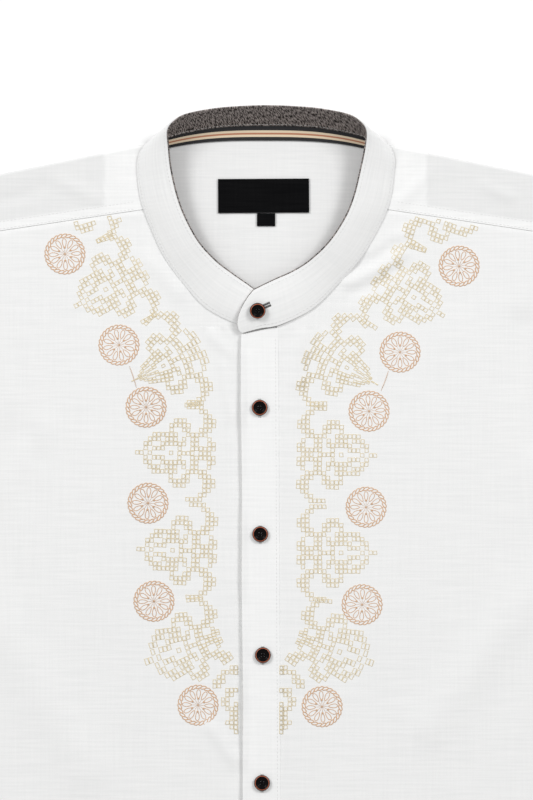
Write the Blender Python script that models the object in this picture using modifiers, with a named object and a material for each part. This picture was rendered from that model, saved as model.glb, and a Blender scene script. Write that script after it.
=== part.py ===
"""A white formal shirt with a band collar, size L, buttoned up and laid flat on its back.

Units are metres and +Z is up, out of the shirt's front. +Y runs from the hem to the collar and +X
to the viewer's right. While the pieces are drafted, X is 0 on the garment's centre line and Y is 0
at the shoulder points. At the end everything is moved so that the origin is under the middle.
"""

import math
from collections import namedtuple

import bmesh
import bpy
import numpy as np
from mathutils import Matrix, Vector

MM = 0.001

# Cloth and seams
CLOTH = 1.0 * MM
SEAM_GAP = 0.3 * MM
# Curved seams between straight facets are drafted a little wider, so that the facets stay clear.
NECK_GAP = 0.6 * MM
ARMHOLE_GAP = 0.8 * MM
LAYER = CLOTH + SEAM_GAP
FOLD_R = 1.2 * MM
LOWER_Z = CLOTH / 2
FOLD_Z = LOWER_Z + FOLD_R
UPPER_Z = LOWER_Z + 2 * FOLD_R
SIDE_Z = LOWER_Z + LAYER

# Shoulder fold, yoke seams and hem
SHOULDER_X = 87.0 * MM
SHOULDER_Y = -1.5 * MM
SHOULDER_SLOPE = 0.203
YOKE_FRONT_X = 90.0 * MM
YOKE_FRONT_Y = -48.0 * MM
YOKE_FRONT_SLOPE = 0.149
YOKE_BACK_Y = -118.0 * MM
BACK_NECK_Y = 11.5 * MM
BACK_NECK_POWER = 2.6
HEM_Y = -755.0 * MM
HEM_SIDE_RISE = 55.0 * MM
HEM_CURVE_FROM = 0.35
HEM_CURVE_TOP = -450.0 * MM

# How the top layer comes down at the shoulder fold and at the side seams
SHOULDER_EASE = 25.0 * MM
UNDERARM_Y = -270.0 * MM
UNDERARM_EASE = 30.0 * MM
SIDE_EASE = 22.0 * MM

# Centre front: its line leans to the viewer's left under the collar and comes halfway back
LEAN = -4.3 * MM
LEAN_FROM_Y = -40.0 * MM
LEAN_TO_Y = -130.0 * MM
LEAN_BACK = 1.6 * MM
LEAN_BACK_Y = -470.0 * MM
LEAN_REACH = 190.0 * MM
PLACKET_HALF = 13.4 * MM
PLACKET_TOP_Y = (-137.9 * MM, -133.4 * MM, -133.0 * MM)
PLACKET_TOP_AT = (-13.4 * MM, 6.8 * MM, 13.4 * MM)
PLACKET_EASE = 30.0 * MM
STAND_UNDERLAP = 12.0 * MM
UNDER_NECK_Y = -133.6 * MM
OVER_NECK_Y = -132.2 * MM
LAP_HEIGHT = 2 * LAYER + 0.6 * MM
LAP_SHIFT = 1.6 * MM
LAP_FROM = 50.0
LAP_EASE = 36.0
LAP_BELOW_Y = -60.0

# Inside the back neck
TAPE_HALF = 74.0 * MM
TAPE_WIDTH = 9.4 * MM
TAPE_NARROWING = 0.25
LABEL_CENTRE = (-1.4 * MM, -38.0 * MM)
LABEL_SIZE = (65.5 * MM, 24.5 * MM)
TAB_CENTRE = (0.4 * MM, -55.2 * MM)
TAB_SIZE = (13.0 * MM, 9.2 * MM)

# Sleeves and cuffs
SLEEVE_ANGLE = math.radians(34.0)
SLEEVE_TOP_LENGTH = 555.0 * MM
SLEEVE_END_WIDTH = 127.0 * MM
SLEEVE_CAP_REACH = 70.0 * MM
SLEEVE_CAP_ANGLE = math.radians(15.0)
SLEEVE_CAP_PULL = 0.35
SLEEVE_CAP_FADE = 0.45
SLEEVE_EDGE_EASE = 0.12
SLEEVE_FOLD_FADE = 0.125
CUFF_LENGTH = 65.0 * MM
CUFF_WIDTH = 119.0 * MM
CUFF_BUTTON_IN = 16.0 * MM

# Buttons
BUTTON_R = 5.75 * MM
BUTTON_HEIGHT = 2.6 * MM
BUTTON_SIDES = 14
COLLAR_BUTTON = (-5.8 * MM, -120.3 * MM)

# Half of the collar, from beside the front end round to the centre back, in millimetres.
# The seam is where the band meets the body, and the top is its free edge.
Station = namedtuple("Station", "seam_x seam_y base_z top_x top_y top_z")
COLLAR = [
    Station(15.0, -131.0, 3.6, 11.0, -99.5, 9.2),
    Station(38.0, -119.5, 3.6, 22.5, -93.0, 10.5),
    Station(56.0, -101.5, 3.6, 34.5, -84.5, 12.5),
    Station(71.5, -82.0, 3.6, 47.5, -71.0, 15.0),
    Station(83.5, -59.0, 3.6, 58.0, -53.5, 16.5),
    Station(90.0, -42.0, 3.6, 64.0, -38.0, 17.0),
    Station(92.8, -24.0, 3.6, 68.5, -19.0, 18.5),
    Station(92.7, -10.0, 3.9, 71.0, -3.0, 21.5),
    Station(87.0, -1.5, 4.0, 71.5, 8.5, 25.0),
    Station(76.0, 1.5, 2.6, 67.0, 15.5, 26.2),
    Station(62.0, 5.7, 2.1, 58.0, 20.5, 26.2),
    Station(40.0, 9.6, 2.1, 38.0, 24.4, 26.0),
    Station(20.0, 11.2, 2.1, 19.0, 26.0, 26.0),
    Station(0.0, 11.5, 2.1, 0.0, 26.6, 26.0),
]
# The viewer's right end laps over as a tab, and the other end stops under it.
TAB_END = [
    Station(-12.7, -137.1, 3.6, -5.0, -107.4, 8.6),
    Station(0.0, -133.8, 3.6, 2.5, -103.6, 8.8),
]
UNDER_END = [
    Station(-7.0, -131.3, 3.6, -6.0, -109.0, 8.2),
    Station(4.0, -131.6, 3.6, 3.0, -104.8, 8.6),
]

# The body's side from the shoulder tip round the armhole and down the side seam, in millimetres.
Edge = namedtuple("Edge", "x y")
ARMHOLE = [
    Edge(237.0, -32.0),
    Edge(227.0, -70.0),
    Edge(218.0, -118.0),
    Edge(215.0, -165.0),
    Edge(220.0, -208.0),
    Edge(234.0, -246.0),
    Edge(256.0, -277.0),
    Edge(272.0, -302.0),
]
SIDE_SEAM = [
    Edge(272.0, -302.0),
    Edge(270.0, -380.0),
    Edge(269.0, -460.0),
    Edge(274.0, -570.0),
    Edge(281.0, -670.0),
    Edge(284.0, -756.0),
]

# The largest folds of the fronts: a soft ridge or trough along a line, in millimetres.
Fold = namedtuple("Fold", "x0 y0 x1 y1 width height")
FOLDS = [
    Fold(67.0, -89.0, 91.0, -73.0, 6.0, -0.8),
    Fold(62.0, -100.0, 100.0, -79.0, 5.0, 0.9),
    Fold(79.0, -78.0, 103.0, -64.0, 5.0, 0.7),
    Fold(-159.0, -205.0, -190.0, -252.0, 8.0, 1.4),
    Fold(-36.0, -421.0, -20.0, -443.0, 6.0, 0.8),
    Fold(-92.0, -160.0, -120.0, -330.0, 30.0, 0.7),
    Fold(120.0, -150.0, 95.0, -340.0, 34.0, 0.8),
    Fold(228.0, -290.0, 120.0, -420.0, 16.0, 1.5),
    Fold(-232.0, -292.0, -130.0, -450.0, 18.0, 1.4),
    Fold(70.0, -520.0, 96.0, -730.0, 20.0, 1.3),
    Fold(-86.0, -540.0, -70.0, -735.0, 18.0, 1.2),
    Fold(205.0, -500.0, 190.0, -690.0, 20.0, 1.4),
    Fold(-200.0, -560.0, -214.0, -700.0, 18.0, 1.2),
    Fold(160.0, -34.0, 176.0, -46.0, 6.0, 0.5),
]

# Folds along a sleeve: how far along it they start and end, how far across, width and height in mm.
SleeveFold = namedtuple("SleeveFold", "start end across_start across_end width height")
SLEEVE_FOLDS = [
    SleeveFold(0.02, 0.34, 0.30, 0.52, 14.0, 1.5),
    SleeveFold(0.18, 0.62, 0.75, 0.55, 12.0, 1.2),
    SleeveFold(0.55, 0.98, 0.30, 0.38, 9.0, 1.4),
    SleeveFold(0.72, 1.00, 0.66, 0.62, 7.0, 1.2),
]

ButtonPlace = namedtuple("ButtonPlace", "name x y")
PLACKET_BUTTONS = [
    ButtonPlace("button_1", -4.2, -190.5),
    ButtonPlace("button_2", -3.8, -281.5),
    ButtonPlace("button_3", -1.9, -368.6),
    ButtonPlace("button_4", -2.5, -460.6),
    ButtonPlace("button_5", -2.6, -550.0),
    ButtonPlace("button_6", -2.6, -640.0),
]


def clear_scene():
    for obj in list(bpy.data.objects):
        bpy.data.objects.remove(obj)


def smooth(t):
    t = np.clip(t, 0.0, 1.0)
    return t * t * (3 - 2 * t)


def through(points, steps=12):
    """Points along a smooth curve through the given rows, with this many steps in each span."""
    rows = np.array(points, float)
    rows = np.vstack([2 * rows[0] - rows[1], rows, 2 * rows[-1] - rows[-2]])
    found = []
    for a, b, c, d in zip(rows, rows[1:], rows[2:], rows[3:]):
        for k in range(steps):
            t = k / steps
            found.append(
                0.5 * (2 * b + (c - a) * t + (2 * a - 5 * b + 4 * c - d) * t**2
                       + (3 * b - a - 3 * c + d) * t**3)
            )
    found.append(rows[-2])
    return np.array(found)


def set_off(curve, gap):
    """A curve moved sideways, to the left of its direction."""
    along = np.gradient(curve, axis=0)
    along /= np.linalg.norm(along, axis=1)[:, None]
    return curve + np.column_stack([-along[:, 1], along[:, 0]]) * gap


ARMHOLE_CURVE = through(ARMHOLE) * MM
OUTLINE = np.vstack([ARMHOLE_CURVE, through(SIDE_SEAM)[1:] * MM])
SLEEVE_SEAM = set_off(ARMHOLE_CURVE, ARMHOLE_GAP)
SEAM_STATIONS = [(s.seam_x, s.seam_y) for s in TAB_END[1:] + COLLAR[:9]]
NECK_CURVE = set_off(through(SEAM_STATIONS) * MM, -NECK_GAP)


def body_half(y):
    return np.interp(-y, -OUTLINE[:, 1], OUTLINE[:, 0])


def neck_half(y):
    """Half the width of the neck seam across the front, at a level y."""
    return np.interp(y, NECK_CURVE[:, 1], NECK_CURVE[:, 0])


def centre_front(y):
    """The line of the buttons wanders a little to the viewer's left below the collar."""
    lean = LEAN * smooth((LEAN_FROM_Y - y) / (LEAN_FROM_Y - LEAN_TO_Y))
    return lean + LEAN_BACK * np.clip((LEAN_TO_Y - y) / (LEAN_TO_Y - LEAN_BACK_Y), 0, 1)


def shoulder_line(x):
    return SHOULDER_Y - SHOULDER_SLOPE * (abs(x) - SHOULDER_X)


def yoke_seam(x):
    return YOKE_FRONT_Y - YOKE_FRONT_SLOPE * (abs(x) - YOKE_FRONT_X)


def back_neck(x):
    low = shoulder_line(SHOULDER_X) - FOLD_R
    share = np.clip(abs(x) / SHOULDER_X, 0, 1) ** BACK_NECK_POWER
    return BACK_NECK_Y - (BACK_NECK_Y - low) * share


def hem(x):
    share = (abs(x) / body_half(HEM_Y) - HEM_CURVE_FROM) / (1 - HEM_CURVE_FROM)
    return HEM_Y + HEM_SIDE_RISE * smooth(share)


def hem_share(level):
    """How far a row at this level has taken up the curve of the hem."""
    return smooth((HEM_CURVE_TOP - level) / (HEM_CURVE_TOP - HEM_Y))


def fold_height(x, y):
    total = 0.0
    for f in FOLDS:
        a = np.array([f.x0, f.y0]) * MM
        b = np.array([f.x1, f.y1]) * MM
        along = np.clip(np.dot([x - a[0], y - a[1]], b - a) / np.dot(b - a, b - a), 0, 1)
        away = math.dist((x, y), a + along * (b - a)) / (f.width * MM)
        total += f.height * MM * math.exp(-away * away)
    return total


def upper_z(x, y):
    """Middle of the wall of the top layer: yoke strips, fronts and what lies on them."""
    off_fold = smooth((shoulder_line(x) - y) / SHOULDER_EASE)
    z = UPPER_Z + fold_height(x, y) * off_fold
    below_arm = smooth((UNDERARM_Y - y) / UNDERARM_EASE)
    from_side = smooth((body_half(y) - abs(x)) / SIDE_EASE)
    return z + (SIDE_Z - z) * below_arm * (1 - from_side)


def new_object(name, mesh):
    obj = bpy.data.objects.new(name, mesh)
    SHIRT.objects.link(obj)
    return obj


def make_material(name, colour, roughness):
    material = bpy.data.materials.new(name)
    material.use_nodes = True
    shader = material.node_tree.nodes["Principled BSDF"]
    shader.inputs["Base Color"].default_value = (*colour, 1.0)
    shader.inputs["Roughness"].default_value = roughness
    shader.inputs["Metallic"].default_value = 0.0
    material.diffuse_color = (*colour, 1.0)
    return material


def sheet_mesh(name, columns, rows, place, keep=None, closed=False):
    """A grid whose point in column i and row j goes to place(i, j). keep(i, j) picks its cells."""
    bm = bmesh.new()
    bmesh.ops.create_grid(bm, x_segments=columns, y_segments=rows, size=0.5)
    steps = {}
    for vert in bm.verts:
        steps[vert] = (round((vert.co.x + 0.5) * columns), round((vert.co.y + 0.5) * rows))
    if keep:
        dropped = []
        for face in bm.faces:
            i = min(steps[vert][0] for vert in face.verts)
            j = min(steps[vert][1] for vert in face.verts)
            if not keep(i, j):
                dropped.append(face)
        bmesh.ops.delete(bm, geom=dropped, context="FACES")
    for vert in bm.verts:
        vert.co = Vector(place(*steps[vert]))
    if closed:
        bmesh.ops.remove_doubles(bm, verts=bm.verts, dist=0.01 * MM)
        bmesh.ops.recalc_face_normals(bm, faces=bm.faces)
    mesh = bpy.data.meshes.new(name)
    bm.to_mesh(mesh)
    bm.free()
    mesh.shade_smooth()
    return mesh


def cloth(name, material, mesh):
    """A wall of cloth, half of it on each side of the sheet."""
    mesh.materials.append(material)
    wall = new_object(name, mesh).modifiers.new("Wall", "SOLIDIFY")
    wall.thickness = CLOTH
    wall.offset = 0
    wall.use_even_offset = True
    wall.use_quality_normals = True


# Yoke

YOKE_SIDE_COLUMNS = 7
YOKE_NECK_COLUMNS = 12
YOKE_BACK_ROWS = 5
YOKE_FOLD_ROWS = 4
YOKE_FRONT_ROWS = 5
YOKE_ROW_BIAS = 1.3
NECK_CORNER_OUT = 0.6 * MM
SETTLING_TURNS = 12


def yoke_point(i, j):
    """Rows run from the back seam up to the shoulder fold, round it, and down to the front seam.

    The rows slant with the shoulder and the columns end on curved edges, so each point is settled
    by a few turns of working out its level and then its place across.
    """
    columns = 2 * YOKE_SIDE_COLUMNS + YOKE_NECK_COLUMNS
    if YOKE_SIDE_COLUMNS < i < YOKE_SIDE_COLUMNS + YOKE_NECK_COLUMNS:
        x = SHOULDER_X * (2 * (i - YOKE_SIDE_COLUMNS) / YOKE_NECK_COLUMNS - 1)
        y = YOKE_BACK_Y + (back_neck(x) - YOKE_BACK_Y) * j / YOKE_BACK_ROWS
        return x, y, LOWER_Z
    side = -1 if i <= YOKE_SIDE_COLUMNS else 1
    out = YOKE_SIDE_COLUMNS - i if side < 0 else i - columns + YOKE_SIDE_COLUMNS
    out /= YOKE_SIDE_COLUMNS
    cosine = math.cos(math.atan(SHOULDER_SLOPE))
    x = SHOULDER_X
    for _ in range(SETTLING_TURNS):
        inner = SHOULDER_X
        top = shoulder_line(x) - FOLD_R / cosine
        if j <= YOKE_BACK_ROWS:
            y = YOKE_BACK_Y + (top - YOKE_BACK_Y) * j / YOKE_BACK_ROWS
            z = LOWER_Z
        elif j <= YOKE_BACK_ROWS + YOKE_FOLD_ROWS:
            turn = math.pi * ((j - YOKE_BACK_ROWS) / YOKE_FOLD_ROWS - 0.5)
            y = shoulder_line(x) - FOLD_R * (1 - math.cos(turn)) / cosine
            z = FOLD_Z + FOLD_R * math.sin(turn)
            inner += NECK_CORNER_OUT * (j - YOKE_BACK_ROWS) / YOKE_FOLD_ROWS
        else:
            share = (j - YOKE_BACK_ROWS - YOKE_FOLD_ROWS) / YOKE_FRONT_ROWS
            y = top + (yoke_seam(x) - top) * share**YOKE_ROW_BIAS
            z = upper_z(side * x, y)
            inner = max(neck_half(y), inner + NECK_CORNER_OUT)
        x = inner + (body_half(y) - inner) * out
    if j > YOKE_BACK_ROWS + YOKE_FOLD_ROWS:
        return side * x + centre_front(y) * (1 - out), y, z
    return side * x, y, z


def yoke_keeps(i, j):
    at_neck = YOKE_SIDE_COLUMNS <= i < YOKE_SIDE_COLUMNS + YOKE_NECK_COLUMNS
    return not (at_neck and j >= YOKE_BACK_ROWS)


def make_yoke():
    columns = 2 * YOKE_SIDE_COLUMNS + YOKE_NECK_COLUMNS
    rows = YOKE_BACK_ROWS + YOKE_FOLD_ROWS + YOKE_FRONT_ROWS
    cloth("yoke", WHITE, sheet_mesh("yoke", columns, rows, yoke_point, yoke_keeps))


# Back and fronts

BACK_COLUMNS = 10
ARMHOLE_ROWS = 12
BACK_ROWS = 22
FRONT_COLUMNS = 13
NECK_ROWS = 11
BODY_ROWS = 22


def make_back():
    def place(i, j):
        share = 2 * i / BACK_COLUMNS - 1
        underarm = ARMHOLE_CURVE[-1, 1]
        levels = [0, ARMHOLE_ROWS, BACK_ROWS]
        level = np.interp(BACK_ROWS - j, levels, [YOKE_BACK_Y - SEAM_GAP, underarm, HEM_Y])
        x = share * body_half(level)
        return x, level + (hem(x) - HEM_Y) * hem_share(level), LOWER_Z

    cloth("back", WHITE, sheet_mesh("back", BACK_COLUMNS, BACK_ROWS, place))


def neck_level(share, bottom):
    """The level at a share of the way down the neck seam, from the yoke seam to its bottom."""
    length = np.concatenate([[0], np.cumsum(np.linalg.norm(np.diff(NECK_CURVE, axis=0), axis=1))])
    ends = np.interp([YOKE_FRONT_Y, bottom], NECK_CURVE[:, 1], length)
    return np.interp(ends[0] + (ends[1] - ends[0]) * share, length, NECK_CURVE[:, 1])


def front_point(side, under, i, j):
    """Column i from the centre to the side and row j from the yoke seam to the hem.

    A side of -1 is the viewer's left. under is how far the panel runs under the placket.
    """
    neck_bottom = UNDER_NECK_Y if under > 0 else OVER_NECK_Y
    if j <= NECK_ROWS:
        share = j / NECK_ROWS
        level = neck_level(share, neck_bottom)
        slope = YOKE_FRONT_SLOPE * (1 - smooth(share))
    else:
        share = (j - NECK_ROWS) / BODY_ROWS
        level = neck_bottom + (HEM_Y - neck_bottom) * share
        slope = 0.0
    x = YOKE_FRONT_X
    for _ in range(SETTLING_TURNS):
        y = level - slope * (x - YOKE_FRONT_X)
        if j <= NECK_ROWS:
            y -= SEAM_GAP * (1 - j / NECK_ROWS)
        y += (hem(x) - HEM_Y) * hem_share(level)
        if j < NECK_ROWS:
            inner = neck_half(y)
        else:
            inner = -under if under > 0 else PLACKET_HALF + SEAM_GAP
        x = inner + (body_half(level if j > NECK_ROWS else y) - inner) * i / FRONT_COLUMNS
    out = smooth(x / LEAN_REACH)
    z = upper_z(side * x, y)
    if side > 0:
        z += LAYER * (1 - smooth((x - PLACKET_HALF) / PLACKET_EASE))
    return side * x + centre_front(y) * (1 - out), y, z


def make_front(name, side, under):
    rows = NECK_ROWS + BODY_ROWS
    mesh = sheet_mesh(
        name, FRONT_COLUMNS, rows, lambda i, j: front_point(side, under, i, rows - j)
    )
    cloth(name, WHITE, mesh)


def make_placket():
    columns, rows = 3, 30

    def place(i, j):
        across = PLACKET_HALF * (2 * i / columns - 1)
        top = np.interp(across, PLACKET_TOP_AT, PLACKET_TOP_Y)
        y = top + (HEM_Y - top) * (1 - j / rows)
        x = centre_front(y) + across
        return x, y, upper_z(x, y) + LAYER

    cloth("placket", WHITE, sheet_mesh("placket", columns, rows, place))


# Collar

COLLAR_STEPS = 2
COLLAR_ROWS = 4
TAB_BOW = 7.0 * MM
TAB_ROUNDNESS = 0.75
TAB_BOW_INSIDE = 0.45
COLLAR_BULGE = 0.9 * MM
STAND_CLEARANCE = 1.2
INNER_REACH = 1.02
LEAF_OFFSET = LAYER / 2
OUTER_LEAF = 1
INNER_LEAF = -1


def collar_edges():
    """The band's lower and upper edges, from the end that lies under to the end that laps over."""
    lower, upper = [], []
    sides = [(-1, s) for s in UNDER_END + COLLAR]
    sides += [(1, s) for s in COLLAR[-2::-1] + TAB_END[::-1]]
    for side, s in sides:
        near_front = smooth((LAP_FROM - s.seam_x) / LAP_EASE) * (s.seam_y < LAP_BELOW_Y)
        base = np.array([side * s.seam_x, s.seam_y, s.base_z]) * MM
        top = np.array([side * s.top_x, s.top_y, s.top_z]) * MM
        if side > 0:
            base[2] += LAP_HEIGHT * near_front
            top[2] += LAP_HEIGHT * near_front
        top[1] += LAP_SHIFT * near_front * side
        lean = top - base
        flat = np.array([lean[0], lean[1], 0.0])
        steep = abs(lean[2]) / np.linalg.norm(lean)
        clear = SEAM_GAP + STAND_CLEARANCE * (LEAF_OFFSET + CLOTH / 2) * steep
        base += flat / np.linalg.norm(flat) * clear
        base[0] += centre_front(base[1])
        top[0] += centre_front(top[1])
        lower.append(base)
        upper.append(top)
    return np.array(lower), np.array(upper)


def collar_grid(rows, reach=1.0):
    """Middle of the band and its outward normal at each column and row."""
    lower, upper = collar_edges()
    low, up = through(lower, COLLAR_STEPS), through(upper, COLLAR_STEPS)
    share = np.linspace(0, reach, rows + 1)[None, :, None]
    points = low[:, None, :] * (1 - share) + up[:, None, :] * share
    along = np.gradient(points, axis=0)
    across = np.gradient(points, axis=1)
    normal = np.cross(across, along)
    normal /= np.linalg.norm(normal, axis=2)[:, :, None]
    points = points + normal * (COLLAR_BULGE * 4 * share * (1 - share))
    return round_tab(points, rows), normal


def round_tab(points, rows):
    """The end that laps over is a rounded tab: its last columns bow outwards."""
    step = points[-1] - points[-2]
    step /= np.linalg.norm(step, axis=1)[:, None]
    for row in range(rows + 1):
        v = row / rows
        bow = TAB_BOW * (4 * v * (1 - v)) ** TAB_ROUNDNESS
        points[-1, row] += step[row] * bow
        points[-2, row] += step[row] * bow * TAB_BOW_INSIDE
    return points


def make_collar_leaf(name, material, leaf, reach):
    points, normal = collar_grid(COLLAR_ROWS, reach)
    moved = points + normal * (leaf * LEAF_OFFSET)
    mesh = sheet_mesh(name, len(moved) - 1, COLLAR_ROWS, lambda i, j: moved[i, j])
    cloth(name, material, mesh)


# Neck tape, label and size tab

def make_neck_tape():
    columns = 16

    def place(i, j):
        x = TAPE_HALF * (2 * i / columns - 1)
        narrow = 1 - TAPE_NARROWING * (x / TAPE_HALF) ** 2
        y = back_neck(x) - SEAM_GAP - TAPE_WIDTH * narrow * (1 - j)
        return x, y, LOWER_Z + LAYER

    cloth("neck_tape", TAPE, sheet_mesh("neck_tape", columns, 1, place))


def make_patch(name, centre, size):
    columns, rows = 4, 2

    def place(i, j):
        x = centre[0] + size[0] * (i / columns - 0.5)
        y = centre[1] + size[1] * (j / rows - 0.5)
        return x, y, LOWER_Z + LAYER

    cloth(name, BLACK, sheet_mesh(name, columns, rows, place))


# Sleeves and cuffs

SLEEVE_ROWS = 11
ACROSS_STEPS = 9
TURN_STEPS = 4


def tube_section():
    """Steps round a flattened tube, as a closed loop of (share across, inset from an edge, height).

    The inset is in fold radii, and the height runs from -1 in the lower layer to 1 in the upper one.
    """
    found = []
    for k in range(ACROSS_STEPS + 1):
        found.append((k / ACROSS_STEPS, 1.0, 1.0))
    for k in range(1, TURN_STEPS):
        turn = math.pi * (0.5 - k / TURN_STEPS)
        found.append((1.0, 1 - math.cos(turn), math.sin(turn)))
    for k in range(ACROSS_STEPS + 1):
        found.append((1 - k / ACROSS_STEPS, 1.0, -1.0))
    for k in range(1, TURN_STEPS):
        turn = math.pi * (k / TURN_STEPS - 0.5)
        found.append((0.0, 1 - math.cos(turn), math.sin(turn)))
    return found


def across_tube(first, last, share, inset):
    """A point between a tube's two edges, kept inset fold radii away from the nearer one."""
    length = math.dist(first, last)
    edge = FOLD_R * inset / length
    if share == 0.0:
        return edge
    if share == 1.0:
        return 1 - edge
    return FOLD_R / length + share * (1 - 2 * FOLD_R / length)


def sleeve_edges(along):
    """The sleeve's upper and lower edge in plan, on the viewer's right, at a share of its length."""
    axis = np.array([math.cos(SLEEVE_ANGLE), -math.sin(SLEEVE_ANGLE)])
    across = np.array([-math.sin(SLEEVE_ANGLE), -math.cos(SLEEVE_ANGLE)])
    shoulder = SLEEVE_SEAM[0]
    underarm = SLEEVE_SEAM[-1]
    cap = shoulder + SLEEVE_CAP_REACH * np.array(
        [math.cos(SLEEVE_CAP_ANGLE), -math.sin(SLEEVE_CAP_ANGLE)]
    )
    wrist = shoulder + SLEEVE_TOP_LENGTH * axis
    t = along
    bend = SLEEVE_CAP_PULL * cap + (1 - SLEEVE_CAP_PULL) * (shoulder + wrist) / 2
    upper = (1 - t) ** 2 * shoulder + 2 * t * (1 - t) * bend + t * t * wrist
    under_end = wrist + SLEEVE_END_WIDTH * across
    lower = underarm + t * (under_end - underarm)
    return upper, lower


def sleeve_height(along, across):
    total = 0.0
    for f in SLEEVE_FOLDS:
        at = np.clip((along - f.start) / (f.end - f.start), 0, 1)
        middle = f.across_start + (f.across_end - f.across_start) * at
        past = abs(along - np.clip(along, f.start, f.end)) / SLEEVE_FOLD_FADE
        away = (across - middle) * SLEEVE_END_WIDTH / (f.width * MM)
        total += f.height * MM * math.exp(-away * away - past * past)
    return total * smooth(across / SLEEVE_EDGE_EASE) * smooth((1 - across) / SLEEVE_EDGE_EASE)


def sleeve_point(side, section, i, j):
    along = j / SLEEVE_ROWS
    share, inset, height = section[i % len(section)]
    upper, lower = sleeve_edges(along)
    w = across_tube(upper, lower, share, inset)
    plan = upper + (lower - upper) * w
    start, end = sleeve_edges(0.0)
    count = len(SLEEVE_SEAM) - 1
    curve = np.array(
        [np.interp(w * count, range(count + 1), SLEEVE_SEAM[:, k]) for k in range(2)]
    )
    bow = curve - (start + (end - start) * w)
    plan = plan + bow * (1 - smooth(along / SLEEVE_CAP_FADE))
    z = FOLD_Z + FOLD_R * height
    if height == 1.0:
        z += sleeve_height(along, w)
    return side * plan[0], plan[1], z


def make_sleeve(name, side):
    section = tube_section()
    mesh = sheet_mesh(
        name,
        len(section),
        SLEEVE_ROWS,
        lambda i, j: sleeve_point(side, section, i, j),
        closed=True,
    )
    cloth(name, WHITE, mesh)


def cuff_frame():
    """The cuff's corner next to the sleeve, its direction and the direction across it."""
    axis = np.array([math.cos(SLEEVE_ANGLE), -math.sin(SLEEVE_ANGLE)])
    across = np.array([-math.sin(SLEEVE_ANGLE), -math.cos(SLEEVE_ANGLE)])
    wrist, _ = sleeve_edges(1.0)
    corner = wrist + SEAM_GAP * axis + (SLEEVE_END_WIDTH - CUFF_WIDTH) / 2 * across
    return corner, axis, across


def make_cuff(name, side):
    section = tube_section()
    rows = 2
    corner, axis, across = cuff_frame()

    def place(i, j):
        share, inset, height = section[i % len(section)]
        start = corner + axis * CUFF_LENGTH * j / rows
        w = across_tube(start, start + across * CUFF_WIDTH, share, inset)
        plan = start + across * CUFF_WIDTH * w
        return side * plan[0], plan[1], FOLD_Z + FOLD_R * height

    mesh = sheet_mesh(name, len(section), rows, place, closed=True)
    cloth(name, WHITE, mesh)


# Buttons

TAB_COLUMNS = 9


def button_mesh():
    """Half of a button's section: a raised rim round a shallow dish, and a flat back."""
    profile = [
        (0.0, 0.60),
        (0.50, 0.62),
        (0.64, 0.92),
        (0.80, 1.00),
        (0.96, 0.80),
        (1.00, 0.45),
        (0.80, 0.00),
        (0.0, 0.00),
    ]
    mesh = bpy.data.meshes.new("button")
    bm = bmesh.new()
    verts = [bm.verts.new((r * BUTTON_R, 0, z * BUTTON_HEIGHT)) for r, z in profile]
    for first, second in zip(verts, verts[1:]):
        bm.edges.new((first, second))
    bm.to_mesh(mesh)
    bm.free()
    mesh.materials.append(BUTTON)
    return mesh


def make_button(name, mesh, point, normal=(0, 0, 1)):
    obj = new_object(name, mesh)
    turn = obj.modifiers.new("Turned", "SCREW")
    turn.steps = BUTTON_SIDES
    turn.render_steps = BUTTON_SIDES
    turn.use_merge_vertices = True
    turn.merge_threshold = 0.01 * MM
    turn.use_normal_calculate = True
    obj.rotation_euler = Vector((0, 0, 1)).rotation_difference(Vector(normal)).to_euler()
    obj.location = point


def on_tab(target):
    """The point of the tab's outer face above a place in plan, and the way that the face looks."""
    points, normal = collar_grid(COLLAR_ROWS)
    near = points[-TAB_COLUMNS:].reshape(-1, 3)
    away = np.linalg.norm(near[:, :2] - target, axis=1)
    weight = 1 / (away + 0.1 * MM) ** 3
    out = (normal[-TAB_COLUMNS:].reshape(-1, 3) * weight[:, None]).sum(axis=0)
    out /= np.linalg.norm(out)
    nearest = near[np.argmin(away)]
    z = nearest[2] - (out[:2] @ (target - nearest[:2])) / out[2]
    return np.array([*target, z]) + out * (LEAF_OFFSET + CLOTH / 2), out


def make_buttons():
    mesh = button_mesh()
    for place in PLACKET_BUTTONS:
        x, y = place.x * MM, place.y * MM
        z = upper_z(x, y) + LAYER + CLOTH / 2 + SEAM_GAP
        make_button(place.name, mesh, (x, y, z))

    face, out = on_tab(np.array(COLLAR_BUTTON))
    make_button("button_collar", mesh, face + out * 2 * SEAM_GAP, out)

    corner, axis, across = cuff_frame()
    plan = corner + axis * CUFF_LENGTH / 2 + across * (CUFF_WIDTH - CUFF_BUTTON_IN)
    z = UPPER_Z + CLOTH / 2 + SEAM_GAP
    make_button("cuff_button_left", mesh, (plan[0], plan[1], z))
    make_button("cuff_button_right", mesh, (-plan[0], plan[1], z))


def move_origin_under_middle():
    """Puts the origin at the middle of the shirt's box, on the surface that it lies on."""
    bpy.context.view_layer.update()
    graph = bpy.context.evaluated_depsgraph_get()
    lows, highs = [], []
    for obj in SHIRT.objects:
        evaluated = obj.evaluated_get(graph)
        corners = [evaluated.matrix_world @ Vector(c) for c in evaluated.bound_box]
        lows.append(np.min(corners, axis=0))
        highs.append(np.max(corners, axis=0))
    low, high = np.min(lows, axis=0), np.max(highs, axis=0)
    middle = Vector(((low[0] + high[0]) / 2, (low[1] + high[1]) / 2, low[2]))
    for obj in SHIRT.objects:
        obj.matrix_world = Matrix.Translation(-middle) @ obj.matrix_world


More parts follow.
